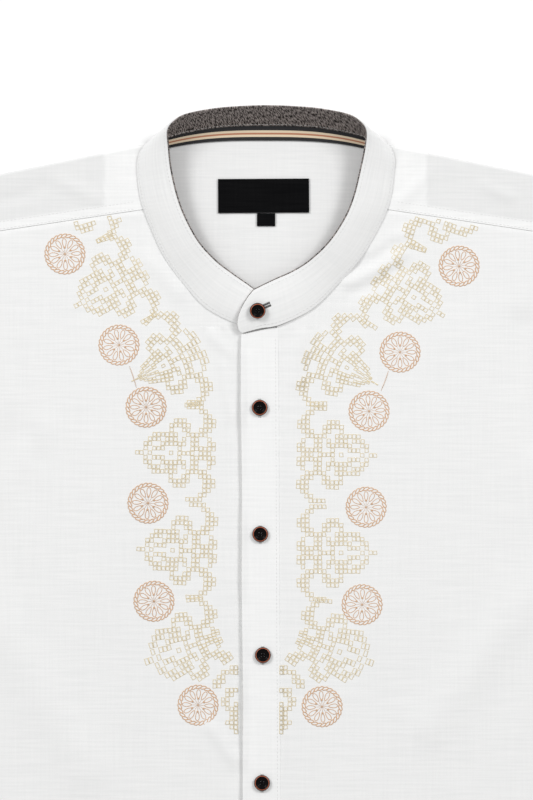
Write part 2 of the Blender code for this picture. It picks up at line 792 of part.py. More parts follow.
clear_scene()
SHIRT = bpy.data.collections.new("formal_shirt")
bpy.context.scene.collection.children.link(SHIRT)
WHITE = make_material("white_cotton", (0.86, 0.86, 0.85), 0.85)
GREY = make_material("grey_chambray", (0.16, 0.145, 0.135), 0.9)
TAPE = make_material("striped_tape", (0.30, 0.25, 0.18), 0.8)
BLACK = make_material("black_label", (0.012, 0.012, 0.013), 0.7)
BUTTON = make_material("black_button", (0.012, 0.010, 0.010), 0.25)

make_yoke()
make_back()
make_front("front_right", -1, STAND_UNDERLAP)
make_front("front_left", 1, 0.0)
make_placket()
make_collar_leaf("collar_outer", WHITE, OUTER_LEAF, 1.0)
make_collar_leaf("collar_inner", GREY, INNER_LEAF, INNER_REACH)
make_neck_tape()
make_patch("label", LABEL_CENTRE, LABEL_SIZE)
make_patch("size_tab", TAB_CENTRE, TAB_SIZE)
make_sleeve("sleeve_right", -1)
make_sleeve("sleeve_left", 1)
make_cuff("cuff_right", -1)
make_cuff("cuff_left", 1)
make_buttons()
move_origin_under_middle()
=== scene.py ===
# %% [markdown]
# # A white formal shirt, laid flat
# A shirt is cut from flat cloth, sewn together and pressed. The frame that is loaded here holds one
# solid for each of its fourteen pieces of cloth and nine buttons. This lesson puts a finer piece in
# the place of each, and then adds what a needle adds: stitches, buttonholes and embroidery.

# %% Load the frame
import math
from collections import namedtuple

import bpy
import numpy as np
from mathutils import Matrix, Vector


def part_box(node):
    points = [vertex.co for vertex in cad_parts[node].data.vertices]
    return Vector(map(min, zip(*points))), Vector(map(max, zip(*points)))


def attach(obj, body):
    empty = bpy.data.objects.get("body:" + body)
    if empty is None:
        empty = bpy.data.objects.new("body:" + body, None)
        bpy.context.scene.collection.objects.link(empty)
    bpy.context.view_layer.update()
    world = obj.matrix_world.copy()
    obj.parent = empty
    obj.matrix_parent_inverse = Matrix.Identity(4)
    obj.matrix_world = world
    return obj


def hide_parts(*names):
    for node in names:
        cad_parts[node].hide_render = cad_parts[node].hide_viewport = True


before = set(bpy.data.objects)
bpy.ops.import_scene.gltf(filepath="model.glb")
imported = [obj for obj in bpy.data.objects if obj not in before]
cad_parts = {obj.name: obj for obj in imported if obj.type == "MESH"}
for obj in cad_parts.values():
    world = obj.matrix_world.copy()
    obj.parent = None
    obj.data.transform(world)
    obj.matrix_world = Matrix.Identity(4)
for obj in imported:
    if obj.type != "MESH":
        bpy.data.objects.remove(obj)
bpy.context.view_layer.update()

# %% [markdown]
# ## Drafting in millimetres
# A pattern cutter works in millimetres from the centre line and the shoulder points, so every
# table below does too. X is 0 on the centre line and Y is 0 at the shoulder points. One number
# moves the draft to where the solids lie: it is read off the label, whose place is known.

# %% Units and where the draft lies
MM = 0.001
LABEL_CENTRE = (-1.4, -38.0)
label_low, label_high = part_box("label")
DRAFT_Y = (label_low[1] + label_high[1]) / 2 - LABEL_CENTRE[1] * MM
print("draft moved up by", round(DRAFT_Y / MM, 2), "mm")

# %% Layers of cloth, from the table up
SHELL = 0.8
LINED_SHELL = 1.0
LAYER = 1.3
FOLD_R = 1.2
LOWER_Z = 0.5
FOLD_Z = LOWER_Z + FOLD_R
UPPER_Z = LOWER_Z + 2 * FOLD_R
SIDE_Z = LOWER_Z + LAYER
TUCK = 0.9

# %% Outline of the body
SHOULDER_X = 87.0
SHOULDER_Y = -1.5
SHOULDER_SLOPE = 0.203
YOKE_FRONT_X = 90.0
YOKE_FRONT_Y = -48.0
YOKE_FRONT_SLOPE = 0.149
YOKE_BACK_Y = -118.0
BACK_NECK_Y = 11.5
HEM_Y = -755.0
HEM_SIDE_RISE = 55.0
HEM_CURVE_TOP = -450.0
PLACKET_HALF = 13.4
STAND_UNDERLAP = 12.0
UNDER_NECK_Y = -133.6
OVER_NECK_Y = -132.2

Edge = namedtuple("Edge", "x y")
ARMHOLE = [
    Edge(237.0, -32.0),
    Edge(227.0, -70.0),
    Edge(218.0, -118.0),
    Edge(215.0, -165.0),
    Edge(220.0, -208.0),
    Edge(234.0, -246.0),
    Edge(256.0, -277.0),
    Edge(272.0, -302.0),
]
SIDE_SEAM = [
    Edge(272.0, -302.0),
    Edge(270.0, -380.0),
    Edge(269.0, -460.0),
    Edge(274.0, -570.0),
    Edge(281.0, -670.0),
    Edge(284.0, -756.0),
]

# %% [markdown]
# The band collar is drafted at stations round the neck. Each has a point on the neck seam and a
# point on the free edge above it, so the band can lean in at the front and out at the back.

# %% Stations of the collar
Station = namedtuple("Station", "seam_x seam_y base_z top_x top_y top_z")
COLLAR = [
    Station(15.0, -131.0, 3.6, 11.0, -99.5, 9.2),
    Station(38.0, -119.5, 3.6, 22.5, -93.0, 10.5),
    Station(56.0, -101.5, 3.6, 34.5, -84.5, 12.5),
    Station(71.5, -82.0, 3.6, 47.5, -71.0, 15.0),
    Station(83.5, -59.0, 3.6, 58.0, -53.5, 16.5),
    Station(90.0, -42.0, 3.6, 64.0, -38.0, 17.0),
    Station(92.8, -24.0, 3.6, 68.5, -19.0, 18.5),
    Station(92.7, -10.0, 3.9, 71.0, -3.0, 21.5),
    Station(87.0, -1.5, 4.0, 71.5, 8.5, 25.0),
    Station(76.0, 1.5, 2.6, 67.0, 15.5, 26.2),
    Station(62.0, 5.7, 2.1, 58.0, 20.5, 26.2),
    Station(40.0, 9.6, 2.1, 38.0, 24.4, 26.0),
    Station(20.0, 11.2, 2.1, 19.0, 26.0, 26.0),
    Station(0.0, 11.5, 2.1, 0.0, 26.6, 26.0),
]
TAB_END = [
    Station(-12.7, -137.1, 3.6, -5.0, -107.4, 8.6),
    Station(0.0, -133.8, 3.6, 2.5, -103.6, 8.8),
]
UNDER_END = [
    Station(-7.0, -131.3, 3.6, -6.0, -109.0, 8.2),
    Station(4.0, -131.6, 3.6, 3.0, -104.8, 8.6),
]

# %% [markdown]
# ## Creases
# A pressed shirt still shows where it was folded and handled. Each crease is a soft ridge or
# trough along a slightly bowed line, with its own length, width and height. About half of them
# are folds that the solids have too. The others, most of them finer, are in this scene alone.

# %% Creases of the two fronts and the yoke
Crease = namedtuple("Crease", "x0 y0 x1 y1 bow width height")
CREASES = [
    Crease(67.0, -89.0, 91.0, -73.0, 1.0, 6.0, -1.2),
    Crease(62.0, -100.0, 100.0, -79.0, 1.5, 5.0, 1.1),
    Crease(79.0, -78.0, 103.0, -64.0, -1.0, 5.0, 0.9),
    Crease(66.0, -108.0, 97.0, -91.0, 1.0, 5.0, -0.9),
    Crease(-60.0, -108.0, -84.0, -84.0, 1.0, 7.0, 1.0),
    Crease(-36.0, -138.0, -22.0, -150.0, 0.5, 4.0, 1.0),
    Crease(30.0, -140.0, 24.0, -172.0, 1.0, 5.0, 0.9),
    Crease(-26.0, -160.0, -20.0, -196.0, 1.0, 4.0, 0.9),
    Crease(-159.0, -205.0, -190.0, -252.0, 2.0, 11.0, 0.8),
    Crease(-173.0, -208.0, -163.0, -228.0, 0.0, 8.0, -0.7),
    Crease(-190.0, -216.0, -205.0, -330.0, 3.0, 18.0, -1.4),
    Crease(186.0, -132.0, 196.0, -214.0, 3.0, 11.0, -2.0),
    Crease(-36.0, -421.0, -20.0, -443.0, 0.5, 5.0, 1.4),
    Crease(-92.0, -160.0, -120.0, -330.0, 4.0, 30.0, 0.9),
    Crease(120.0, -150.0, 95.0, -340.0, -4.0, 34.0, 1.0),
    Crease(228.0, -290.0, 120.0, -420.0, 5.0, 16.0, 2.0),
    Crease(-232.0, -292.0, -130.0, -450.0, -4.0, 18.0, 1.9),
    Crease(70.0, -520.0, 96.0, -730.0, 3.0, 14.0, 1.9),
    Crease(-86.0, -540.0, -70.0, -735.0, -3.0, 12.0, 1.8),
    Crease(205.0, -500.0, 190.0, -690.0, 4.0, 15.0, 2.0),
    Crease(-200.0, -560.0, -214.0, -700.0, -3.0, 13.0, 1.8),
    Crease(97.0, -42.0, 119.0, -18.0, 1.0, 5.0, 1.0),
    Crease(159.0, -30.0, 176.0, -38.0, 0.5, 5.0, 1.0),
    Crease(-150.0, -24.0, -122.0, -40.0, 1.0, 6.0, 0.9),
    Crease(-188.0, -40.0, -160.0, -30.0, 1.0, 6.0, -0.9),
]


# %% Soft steps, smooth curves and crease heights
def smooth(t):
    t = np.clip(t, 0.0, 1.0)
    return t * t * (3 - 2 * t)


def through(points, steps=12):
    """Points along a smooth curve through the given rows, with this many steps in each span."""
    rows = np.array(points, float)
    rows = np.vstack([2 * rows[0] - rows[1], rows, 2 * rows[-1] - rows[-2]])
    found = []
    for a, b, c, d in zip(rows, rows[1:], rows[2:], rows[3:]):
        for k in range(steps):
            t = k / steps
            found.append(
                0.5 * (2 * b + (c - a) * t + (2 * a - 5 * b + 4 * c - d) * t**2
                       + (3 * b - a - 3 * c + d) * t**3)
            )
    found.append(rows[-2])
    return np.array(found)


def set_off(curve, gap):
    """A curve moved sideways, to the left of its direction."""
    along = np.gradient(curve, axis=0)
    along /= np.linalg.norm(along, axis=1)[:, None]
    return curve + np.column_stack([-along[:, 1], along[:, 0]]) * gap


def crease_height(x, y, creases):
    total = np.zeros(np.shape(x))
    for c in creases:
        run_x, run_y = c.x1 - c.x0, c.y1 - c.y0
        length = math.hypot(run_x, run_y)
        along = ((x - c.x0) * run_x + (y - c.y0) * run_y) / length**2
        kept = np.clip(along, 0, 1)
        beside = ((x - c.x0) * run_y - (y - c.y0) * run_x) / length
        beside = beside - c.bow * 4 * kept * (1 - kept)
        away = np.hypot(beside, (along - kept) * length) / c.width
        total += c.height * np.exp(-away * away)
    return total


# %% The body's edges as functions
SLEEVE_GAP = 0.25
NECK_GAP = 1.5
LEAN, LEAN_TOP, LEAN_LENGTH = -4.3, -40.0, 90.0
NECK_SHIFT, NECK_SHIFT_LENGTH = 0.9, 25.0
DRIFT, DRIFT_TOP, DRIFT_LENGTH = 1.6, -130.0, 340.0
BACK_NECK_POWER = 2.6
HEM_CURVE_FROM = 0.35
ARMHOLE_CURVE = through(ARMHOLE)
OUTLINE = np.vstack([ARMHOLE_CURVE, through(SIDE_SEAM)[1:]])
SLEEVE_SEAM = set_off(ARMHOLE_CURVE, SLEEVE_GAP)
SEAM_STATIONS = [(s.seam_x, s.seam_y) for s in TAB_END[1:] + COLLAR[:9]]
NECK_CURVE = set_off(through(SEAM_STATIONS), NECK_GAP)


def body_half(y):
    return np.interp(-y, -OUTLINE[:, 1], OUTLINE[:, 0])


def neck_half(y):
    return np.interp(y, NECK_CURVE[:, 1], NECK_CURVE[:, 0])


def centre_front(y):
    """The middle: shifted a little behind the neck, leaning below it and then drifting back."""
    lean = LEAN * smooth((LEAN_TOP - y) / LEAN_LENGTH)
    lean = lean + NECK_SHIFT * smooth((y + NECK_SHIFT_LENGTH) / NECK_SHIFT_LENGTH)
    return lean + DRIFT * np.clip((DRIFT_TOP - y) / DRIFT_LENGTH, 0, 1)


def shoulder_line(x):
    return SHOULDER_Y - SHOULDER_SLOPE * (abs(x) - SHOULDER_X)


def yoke_seam(x):
    return YOKE_FRONT_Y - YOKE_FRONT_SLOPE * (abs(x) - YOKE_FRONT_X)


def back_neck(x):
    low = shoulder_line(SHOULDER_X) - FOLD_R
    share = np.clip(abs(x) / SHOULDER_X, 0, 1) ** BACK_NECK_POWER
    return BACK_NECK_Y - (BACK_NECK_Y - low) * share


def hem(x):
    share = (abs(x) / body_half(HEM_Y) - HEM_CURVE_FROM) / (1 - HEM_CURVE_FROM)
    return HEM_Y + HEM_SIDE_RISE * smooth(share)


def hem_share(level):
    return smooth((HEM_CURVE_TOP - level) / (HEM_CURVE_TOP - HEM_Y))


# %% Height of the top layer of cloth
SHOULDER_EASE = 25.0
SIDE_LOW_FROM = -270.0
SIDE_LOW_EASE = 30.0
SIDE_EASE = 22.0


def upper_z(x, y):
    """Middle of the top layer of cloth, above any place of the draft."""
    off_fold = smooth((shoulder_line(x) - y) / SHOULDER_EASE)
    z = UPPER_Z + crease_height(x, y, CREASES) * off_fold
    below_arm = smooth((SIDE_LOW_FROM - y) / SIDE_LOW_EASE)
    from_side = smooth((body_half(y) - abs(x)) / SIDE_EASE)
    return z + (SIDE_Z - z) * below_arm * (1 - from_side)


# %% [markdown]
# ## From a grid to a piece of cloth
# Cloth is flat before it is sewn, so each piece starts as a grid. Its points are moved to where
# the draft puts them, and its map keeps the flat place of each thread, so that the weave follows
# the piece round every curve. A wall gives the cloth its thickness at the end.

# %% Helpers for sheets
def deselect():
    if bpy.context.object and bpy.context.object.mode != "OBJECT":
        bpy.ops.object.mode_set(mode="OBJECT")
    bpy.ops.object.select_all(action="DESELECT")


def grid(name, columns, rows):
    """A grid, with the column and row number of each of its points."""
    deselect()
    bpy.ops.mesh.primitive_grid_add(x_subdivisions=columns, y_subdivisions=rows, size=1.0)
    obj = bpy.context.object
    obj.name = name
    obj.data.name = name
    flat = np.empty(len(obj.data.vertices) * 3, np.float32)
    obj.data.vertices.foreach_get("co", flat)
    flat = flat.reshape(-1, 3)
    i = np.rint((flat[:, 0] + 0.5) * columns).astype(int)
    j = np.rint((flat[:, 1] + 0.5) * rows).astype(int)
    return obj, i, j


def place(obj, points):
    """Moves the points to where the draft has them, in millimetres."""
    world = np.array(points, float) * MM
    world[:, 1] += DRAFT_Y
    obj.data.vertices.foreach_set("co", world.astype(np.float32).ravel())
    obj.data.update()


def weave_map(obj, across, along):
    """Keeps the flat place of each point, in metres, for the weave."""
    mesh = obj.data
    corner = np.empty(len(mesh.loops), np.int32)
    mesh.loops.foreach_get("vertex_index", corner)
    flat = np.column_stack([across, along])[corner] * MM
    mesh.uv_layers.active.data.foreach_set("uv", flat.astype(np.float32).ravel())


def drop_cells(obj, i, j, dropped):
    """Deletes the cells whose lowest column and row number are chosen by dropped(i, j)."""
    corners = np.empty(len(obj.data.loops), np.int32)
    obj.data.loops.foreach_get("vertex_index", corners)
    corners = corners.reshape(-1, 4)
    chosen = dropped(i[corners].min(axis=1), j[corners].min(axis=1))
    bpy.ops.object.mode_set(mode="EDIT")
    bpy.ops.mesh.select_mode(type="FACE")
    bpy.ops.mesh.select_all(action="DESELECT")
    bpy.ops.object.mode_set(mode="OBJECT")
    obj.data.polygons.foreach_set("select", chosen)
    bpy.ops.object.mode_set(mode="EDIT")
    bpy.ops.mesh.delete(type="FACE")
    bpy.ops.object.mode_set(mode="OBJECT")


def close_tube(obj):
    """Merges the first and last column of a tube and turns its faces outwards."""
    bpy.ops.object.mode_set(mode="EDIT")
    bpy.ops.mesh.select_all(action="SELECT")
    bpy.ops.mesh.remove_doubles(threshold=0.00001)
    bpy.ops.mesh.normals_make_consistent(inside=False)
    bpy.ops.object.mode_set(mode="OBJECT")


def wall(obj, thickness=SHELL):
    """Gives a sheet its thickness, half on each side."""
    modifier = obj.modifiers.new("Wall", "SOLIDIFY")
    modifier.thickness = thickness * MM
    modifier.offset = 0
    modifier.use_quality_normals = True
    bpy.ops.object.modifier_apply(modifier=modifier.name)
    bpy.ops.object.shade_smooth_by_angle(angle=math.radians(50))


def backing(obj, shares):
    """Keeps how much other cloth lies right behind each point, from 0 to 1."""
    values = np.broadcast_to(shares, len(obj.data.vertices)).astype(np.float32)
    obj.data.attributes.new("backed", "FLOAT", "POINT").data.foreach_set("value", values)


def sheet_area(obj):
    """Half of the area of a walled sheet, in square metres."""
    return sum(face.area for face in obj.data.polygons) / 2


# %% [markdown]
# ## Materials
# The cloth is a plain weave with slightly uneven threads, so one group draws the crossing threads
# and the thicker streaks, called slubs, for every cotton here. It gives a height for the bump and
# a tone for the colour. The shaders themselves stay in each material.

# %% Helpers for materials
SHADER_INPUTS = {"colour": "Base Color", "roughness": "Roughness",
                 "specular": "Specular IOR Level", "sheen": "Sheen Weight"}


def new_material(name, **values):
    """A material whose shader has these values, named as in the table above."""
    material = bpy.data.materials.new(name)
    material.use_nodes = True
    nodes, links = material.node_tree.nodes, material.node_tree.links
    shader = nodes["Principled BSDF"]
    for key, value in values.items():
        shader.inputs[SHADER_INPUTS[key]].default_value = value
    return material, nodes, links, shader


def stretched_noise(nodes, links, where, scale_x, scale_y):
    """Flat noise with a scale of its own each way."""
    stretch = nodes.new("ShaderNodeMapping")
    stretch.inputs["Scale"].default_value = (scale_x, scale_y, 1.0)
    links.new(where, stretch.inputs["Vector"])
    noise = nodes.new("ShaderNodeTexNoise")
    noise.noise_dimensions = "2D"
    noise.inputs["Scale"].default_value = 1.0
    noise.inputs["Detail"].default_value = 2.0
    links.new(stretch.outputs[0], noise.inputs["Vector"])
    return noise.outputs[0]


def bump(nodes, links, shader, height, distance):
    node = nodes.new("ShaderNodeBump")
    node.inputs["Strength"].default_value = 1.0
    node.inputs["Distance"].default_value = distance
    links.new(height, node.inputs["Height"])
    links.new(node.outputs["Normal"], shader.inputs["Normal"])


def tones(nodes, links, factor, dark, light, low=0.3, high=0.7):
    """A colour between dark and light, by a factor."""
    ramp = nodes.new("ShaderNodeValToRGB")
    for element, position, colour in zip(ramp.color_ramp.elements, (low, high), (dark, light)):
        element.position = position
        element.color = (*colour, 1.0)
    links.new(factor, ramp.inputs["Fac"])
    return ramp.outputs["Color"]


# %% The weave group
SLUB_SHORT, SLUB_LONG_WEFT, SLUB_LONG_WARP = 620.0, 26.0, 22.0
WEFT_SHARE, WARP_SHARE, CROSSING_SHARE = 0.68, 0.32, 0.12


def weave_group():
    group = bpy.data.node_groups.new("plain weave", "ShaderNodeTree")
    for name, way, kind in (("Place", "INPUT", "Vector"), ("Threads per metre", "INPUT", "Float"),
                            ("Height", "OUTPUT", "Float"), ("Tone", "OUTPUT", "Float")):
        group.interface.new_socket(name, in_out=way, socket_type="NodeSocket" + kind)
    nodes, links = group.nodes, group.links
    start = nodes.new("NodeGroupInput")
    end = nodes.new("NodeGroupOutput")
    where = start.outputs["Place"]
    split = nodes.new("ShaderNodeSeparateXYZ")
    links.new(where, split.inputs[0])

    def maths(operation, *values):
        """A maths node whose inputs are numbers or the outputs of other nodes."""
        node = nodes.new("ShaderNodeMath")
        node.operation = operation
        for socket, value in zip(node.inputs, values):
            if isinstance(value, float):
                socket.default_value = value
            else:
                links.new(value, socket)
        return node.outputs[0]

    def slubs_along(scale_x, scale_y, share):
        return maths("MULTIPLY", stretched_noise(nodes, links, where, scale_x, scale_y), share)

    turns = maths("MULTIPLY", start.outputs["Threads per metre"], 2 * math.pi)
    warp, weft = (maths("SINE", maths("MULTIPLY", split.outputs[k], turns)) for k in (0, 1))
    slubs = maths("ADD", slubs_along(SLUB_LONG_WEFT, SLUB_SHORT, WEFT_SHARE),
                  slubs_along(SLUB_SHORT, SLUB_LONG_WARP, WARP_SHARE))
    fine = maths("MULTIPLY", maths("MULTIPLY", warp, weft), CROSSING_SHARE)
    links.new(maths("ADD", fine, slubs), end.inputs["Height"])
    links.new(slubs, end.inputs["Tone"])
    return group


WEAVE = weave_group()

# %% [markdown]
# Thin white cotton looks whiter where more cloth lies right behind it, as at a seam allowance or
# the lining of the placket. Each piece keeps that as a share at its points.

# %% Cloth and thread materials
FRONT_BACKED = 0.6
FLECK_SLANT = -0.26
FLECKS_ACROSS = 1450.0
FLECKS_ALONG = 230.0
FLECK_DEPTH = 0.0001
FLECK_TONES = (0.40, 0.62)
TWIST_SCALE = 1400.0
TWIST_DARK = 0.82


def cotton(name, dark, light, threads, depth, roughness=0.9, specular=0.25, sheen=0.1,
           backed=0.0):
    """Woven cotton, with dark and light for its thin and thick threads.

    Thin cotton looks lighter by the share backed where more cloth lies behind it."""
    material, nodes, links, shader = new_material(name, roughness=roughness, specular=specular,
                                                  sheen=sheen)
    where = nodes.new("ShaderNodeUVMap")
    weave = nodes.new("ShaderNodeGroup")
    weave.node_tree = WEAVE
    weave.inputs["Threads per metre"].default_value = threads
    links.new(where.outputs["UV"], weave.inputs["Place"])
    behind = nodes.new("ShaderNodeAttribute")
    behind.attribute_name = "backed"
    share = nodes.new("ShaderNodeMath")
    share.operation = "MULTIPLY_ADD"
    share.inputs[1].default_value = backed
    share.inputs[2].default_value = 1.0 - FRONT_BACKED * backed
    links.new(behind.outputs["Fac"], share.inputs[0])
    lit = nodes.new("ShaderNodeVectorMath")
    lit.operation = "SCALE"
    links.new(tones(nodes, links, weave.outputs["Tone"], dark, light), lit.inputs[0])
    links.new(share.outputs[0], lit.inputs["Scale"])
    links.new(lit.outputs[0], shader.inputs["Base Color"])
    bump(nodes, links, shader, weave.outputs["Height"], depth)
    return material


def thread(name, colour):
    """Sewing or embroidery thread, with a slight twist in its tone."""
    material, nodes, links, shader = new_material(name, roughness=0.6, sheen=0.2)
    where = nodes.new("ShaderNodeTexCoord")
    noise = nodes.new("ShaderNodeTexNoise")
    noise.inputs["Scale"].default_value = TWIST_SCALE
    links.new(where.outputs["Object"], noise.inputs["Vector"])
    darker = tuple(TWIST_DARK * c for c in colour)
    links.new(tones(nodes, links, noise.outputs[0], darker, colour), shader.inputs["Base Color"])
    return material


def chambray(name, dark, light):
    """Grey cotton, woven from dark and pale threads, which show as slanted flecks."""
    material, nodes, links, shader = new_material(name, roughness=0.95, specular=0.2)
    where = nodes.new("ShaderNodeUVMap")
    slant = nodes.new("ShaderNodeMapping")
    slant.inputs["Rotation"].default_value = (0.0, 0.0, FLECK_SLANT)
    links.new(where.outputs["UV"], slant.inputs["Vector"])
    flecks = stretched_noise(nodes, links, slant.outputs[0], FLECKS_ACROSS, FLECKS_ALONG)
    links.new(tones(nodes, links, flecks, dark, light, *FLECK_TONES), shader.inputs["Base Color"])
    bump(nodes, links, shader, flecks, FLECK_DEPTH)
    return material


WHITE = cotton("white cotton", (0.85, 0.853, 0.85), (0.905, 0.905, 0.90), 1900.0, 0.00008,
               backed=0.11)
GREY = chambray("grey chambray", (0.022, 0.017, 0.016), (0.42, 0.37, 0.35))
SATIN = cotton("black label satin", (0.002, 0.002, 0.0025), (0.005, 0.005, 0.0055),
               3000.0, 0.00003, roughness=0.8, specular=0.06, sheen=0.0)
TAN = thread("tan embroidery thread", (0.80, 0.52, 0.32))
ECRU = thread("ecru embroidery thread", (0.88, 0.76, 0.52))
WHITE_THREAD = thread("white sewing thread", (0.86, 0.86, 0.85))
BLACK_THREAD = thread("black sewing thread", (0.012, 0.012, 0.012))
print("materials made:", len(bpy.data.materials))


# %% [markdown]
# ## Finishing a piece of cloth
# Every piece ends the same way: it gets its wall and its material, stands for its solid, and has
# its area printed beside the size that it was cut to. Its name is that of its solid and one word
# more.

# %% One call that finishes a sheet
def finish_sheet(obj, material, area, thickness=SHELL,
                 backed=FRONT_BACKED):
    node = obj.name.rsplit("_", 1)[0]
    if "backed" not in obj.data.attributes:
        backing(obj, backed)
    wall(obj, thickness)
    obj.data.materials.append(material)
    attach(obj, "root")
    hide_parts(node)
    print(obj.name, "area", round(sheet_area(obj), 4), "m2, cut", area)


# %% [markdown]
# ## Yoke
# The yoke lies across the shoulders: it comes from the back, folds over the shoulder and ends at a
# seam on each front. Its grid has the neck opening cut out of the middle.

# %% Yoke
YOKE_SIDE = 64
YOKE_NECK = 60
YOKE_BACK_ROWS = 30
YOKE_FOLD_ROWS = 8
YOKE_FRONT_ROWS = 40
YOKE_ROW_BIAS = 1.3
SETTLING_TURNS = 12
SEAM_ALLOWANCE = 7.5
NECK_FACING = 117.0
ALLOWANCE_EASE = 1.5
FACING_EASE = 2.0
FACING_BACKED = 0.85
FRONT_MAP_OFFSET = 400.0


def yoke_points(i, j):
    columns = 2 * YOKE_SIDE + YOKE_NECK
    side = np.where(i <= YOKE_SIDE + YOKE_NECK / 2, -1.0, 1.0)
    out = np.where(side < 0, YOKE_SIDE - i, i - columns + YOKE_SIDE) / YOKE_SIDE
    cosine = math.cos(math.atan(SHOULDER_SLOPE))
    fold = (j - YOKE_BACK_ROWS) / YOKE_FOLD_ROWS
    share = np.clip((j - YOKE_BACK_ROWS - YOKE_FOLD_ROWS) / YOKE_FRONT_ROWS, 0, 1)
    turn = math.pi * (np.clip(fold, 0, 1) - 0.5)
    x = np.full(i.shape, SHOULDER_X)
    for _ in range(SETTLING_TURNS):
        top = shoulder_line(x) - FOLD_R / cosine
        y = np.where(fold <= 0, YOKE_BACK_Y + (top - YOKE_BACK_Y) * j / YOKE_BACK_ROWS,
                     shoulder_line(x) - FOLD_R * (1 - np.cos(turn)) / cosine)
        y = np.where(fold > 1, top + (yoke_seam(x) - top) * share**YOKE_ROW_BIAS, y)
        inner = np.where(fold > 1, np.maximum(neck_half(y), SHOULDER_X), SHOULDER_X)
        x = inner + (body_half(y) - inner) * out
    z = np.where(fold <= 0, LOWER_Z, FOLD_Z + FOLD_R * np.sin(turn))
    z = np.where(fold > 1, upper_z(side * x, y), z)
    x = side * x + np.where(fold > 1, centre_front(y) * (1 - out), 0.0)
    at_neck = out < 0
    neck_x = SHOULDER_X * (2 * (i - YOKE_SIDE) / YOKE_NECK - 1)
    neck_y = YOKE_BACK_Y + (back_neck(neck_x) - YOKE_BACK_Y) * np.minimum(j / YOKE_BACK_ROWS, 1)
    x = np.where(at_neck, neck_x, x)
    y = np.where(at_neck, neck_y, y)
    return np.column_stack([x, y, np.where(at_neck, LOWER_Z, z)])


yoke, i, j = grid("yoke_cloth", 2 * YOKE_SIDE + YOKE_NECK,
                  YOKE_BACK_ROWS + YOKE_FOLD_ROWS + YOKE_FRONT_ROWS)
points = yoke_points(i, j)
on_top = points[:, 2] > FOLD_Z
place(yoke, points)
weave_map(yoke, points[:, 0], points[:, 1] + FRONT_MAP_OFFSET * on_top)
allowance = smooth(
    (SEAM_ALLOWANCE + yoke_seam(points[:, 0]) - points[:, 1]) / ALLOWANCE_EASE)
facing = smooth((NECK_FACING - np.abs(points[:, 0])) / FACING_EASE)
backing(yoke, np.where(on_top, np.maximum(allowance, FACING_BACKED * facing), FRONT_BACKED))
drop_cells(yoke, i, j, lambda a, b: (a >= YOKE_SIDE) & (a < YOKE_SIDE + YOKE_NECK)
           & (b >= YOKE_BACK_ROWS))
finish_sheet(yoke, WHITE, 0.064)

# %% [markdown]
# ## Back
# The back is one plain panel from the yoke to the curved hem. It lies on the table, so it is flat.

# %% Back
BACK_ROWS = 110
BACK_COLUMNS = 60
ARM_ROWS_SHARE = 0.3
BACK_GAP = 0.1
back, i, j = grid("back_cloth", BACK_COLUMNS, BACK_ROWS)
underarm = ARMHOLE_CURVE[-1, 1]
level = np.interp(BACK_ROWS - j, [0, ARM_ROWS_SHARE * BACK_ROWS, BACK_ROWS],
                  [YOKE_BACK_Y - BACK_GAP, underarm, HEM_Y])
x = (2 * i / BACK_COLUMNS - 1) * body_half(level)
y = level + (hem(x) - HEM_Y) * hem_share(level)
place(back, np.column_stack([x, y, np.full(x.shape, LOWER_Z)]))
weave_map(back, x, y)
finish_sheet(back, WHITE, 0.3237)

# %% [markdown]
# ## Fronts
# Each front hangs from the yoke seam. Its top edge is tucked under the yoke, as it is in a sewn
# seam, and its neck edge runs under the band. Pieces are named for the wearer's sides, so the right
# front is on the viewer's left. It also runs under the placket.

# %% Fronts
FRONT_COLUMNS = 104
NECK_ROWS = 56
BODY_ROWS = 200
TUCK_ROWS = 2
TUCK_STEP = 2.0
TUCK_EASE = 2.5
TUCK_FROM_X = 60.0
FRONT_EDGE_IN = 1.0
LEAN_FADE = 190.0
LAP_EASE = 30.0
BELOW_BAND_Y = -140.0
Groove = namedtuple("Groove", "beside width depth")
GROOVES = {-1: Groove(1.5, 2.5, 0.7), 1: Groove(0.8, 1.6, 0.5)}


def neck_levels(share, bottom):
    """The level at a share of the way down the neck seam, from the yoke seam to its bottom."""
    length = np.concatenate([[0], np.cumsum(np.linalg.norm(np.diff(NECK_CURVE, axis=0), axis=1))])
    ends = np.interp([YOKE_FRONT_Y, bottom], NECK_CURVE[:, 1], length)
    return np.interp(ends[0] + (ends[1] - ends[0]) * share, length, NECK_CURVE[:, 1])


def front_points(side, under, i, j):
    """Points of a front. Column 0 is at the centre and row 0 at the yoke seam."""
    neck_bottom = UNDER_NECK_Y if under else OVER_NECK_Y
    share = np.clip(j / NECK_ROWS, 0, 1)
    in_neck = j <= NECK_ROWS
    below = (j - NECK_ROWS) / BODY_ROWS
    level = np.where(in_neck, neck_levels(share, neck_bottom),
                     neck_bottom + (HEM_Y - neck_bottom) * below)
    slope = YOKE_FRONT_SLOPE * (1 - smooth(share))
    edge = -under if under else PLACKET_HALF - FRONT_EDGE_IN
    x = np.full(i.shape, YOKE_FRONT_X)
    for _ in range(SETTLING_TURNS):
        y = level - slope * (x - YOKE_FRONT_X) + (hem(x) - HEM_Y) * hem_share(level)
        inner = np.where(j < NECK_ROWS, neck_half(y), edge)
        x = inner + (body_half(np.where(in_neck, y, level)) - inner) * i / FRONT_COLUMNS
    z = front_z(side, x, y)
    return np.column_stack([side * x + centre_front(y) * (1 - smooth(x / LEAN_FADE)), y, z])


def lap_height(across):
    """How far the top front is lifted by what lies under its edge."""
    return LAYER * (1 - smooth((across - PLACKET_HALF) / LAP_EASE))


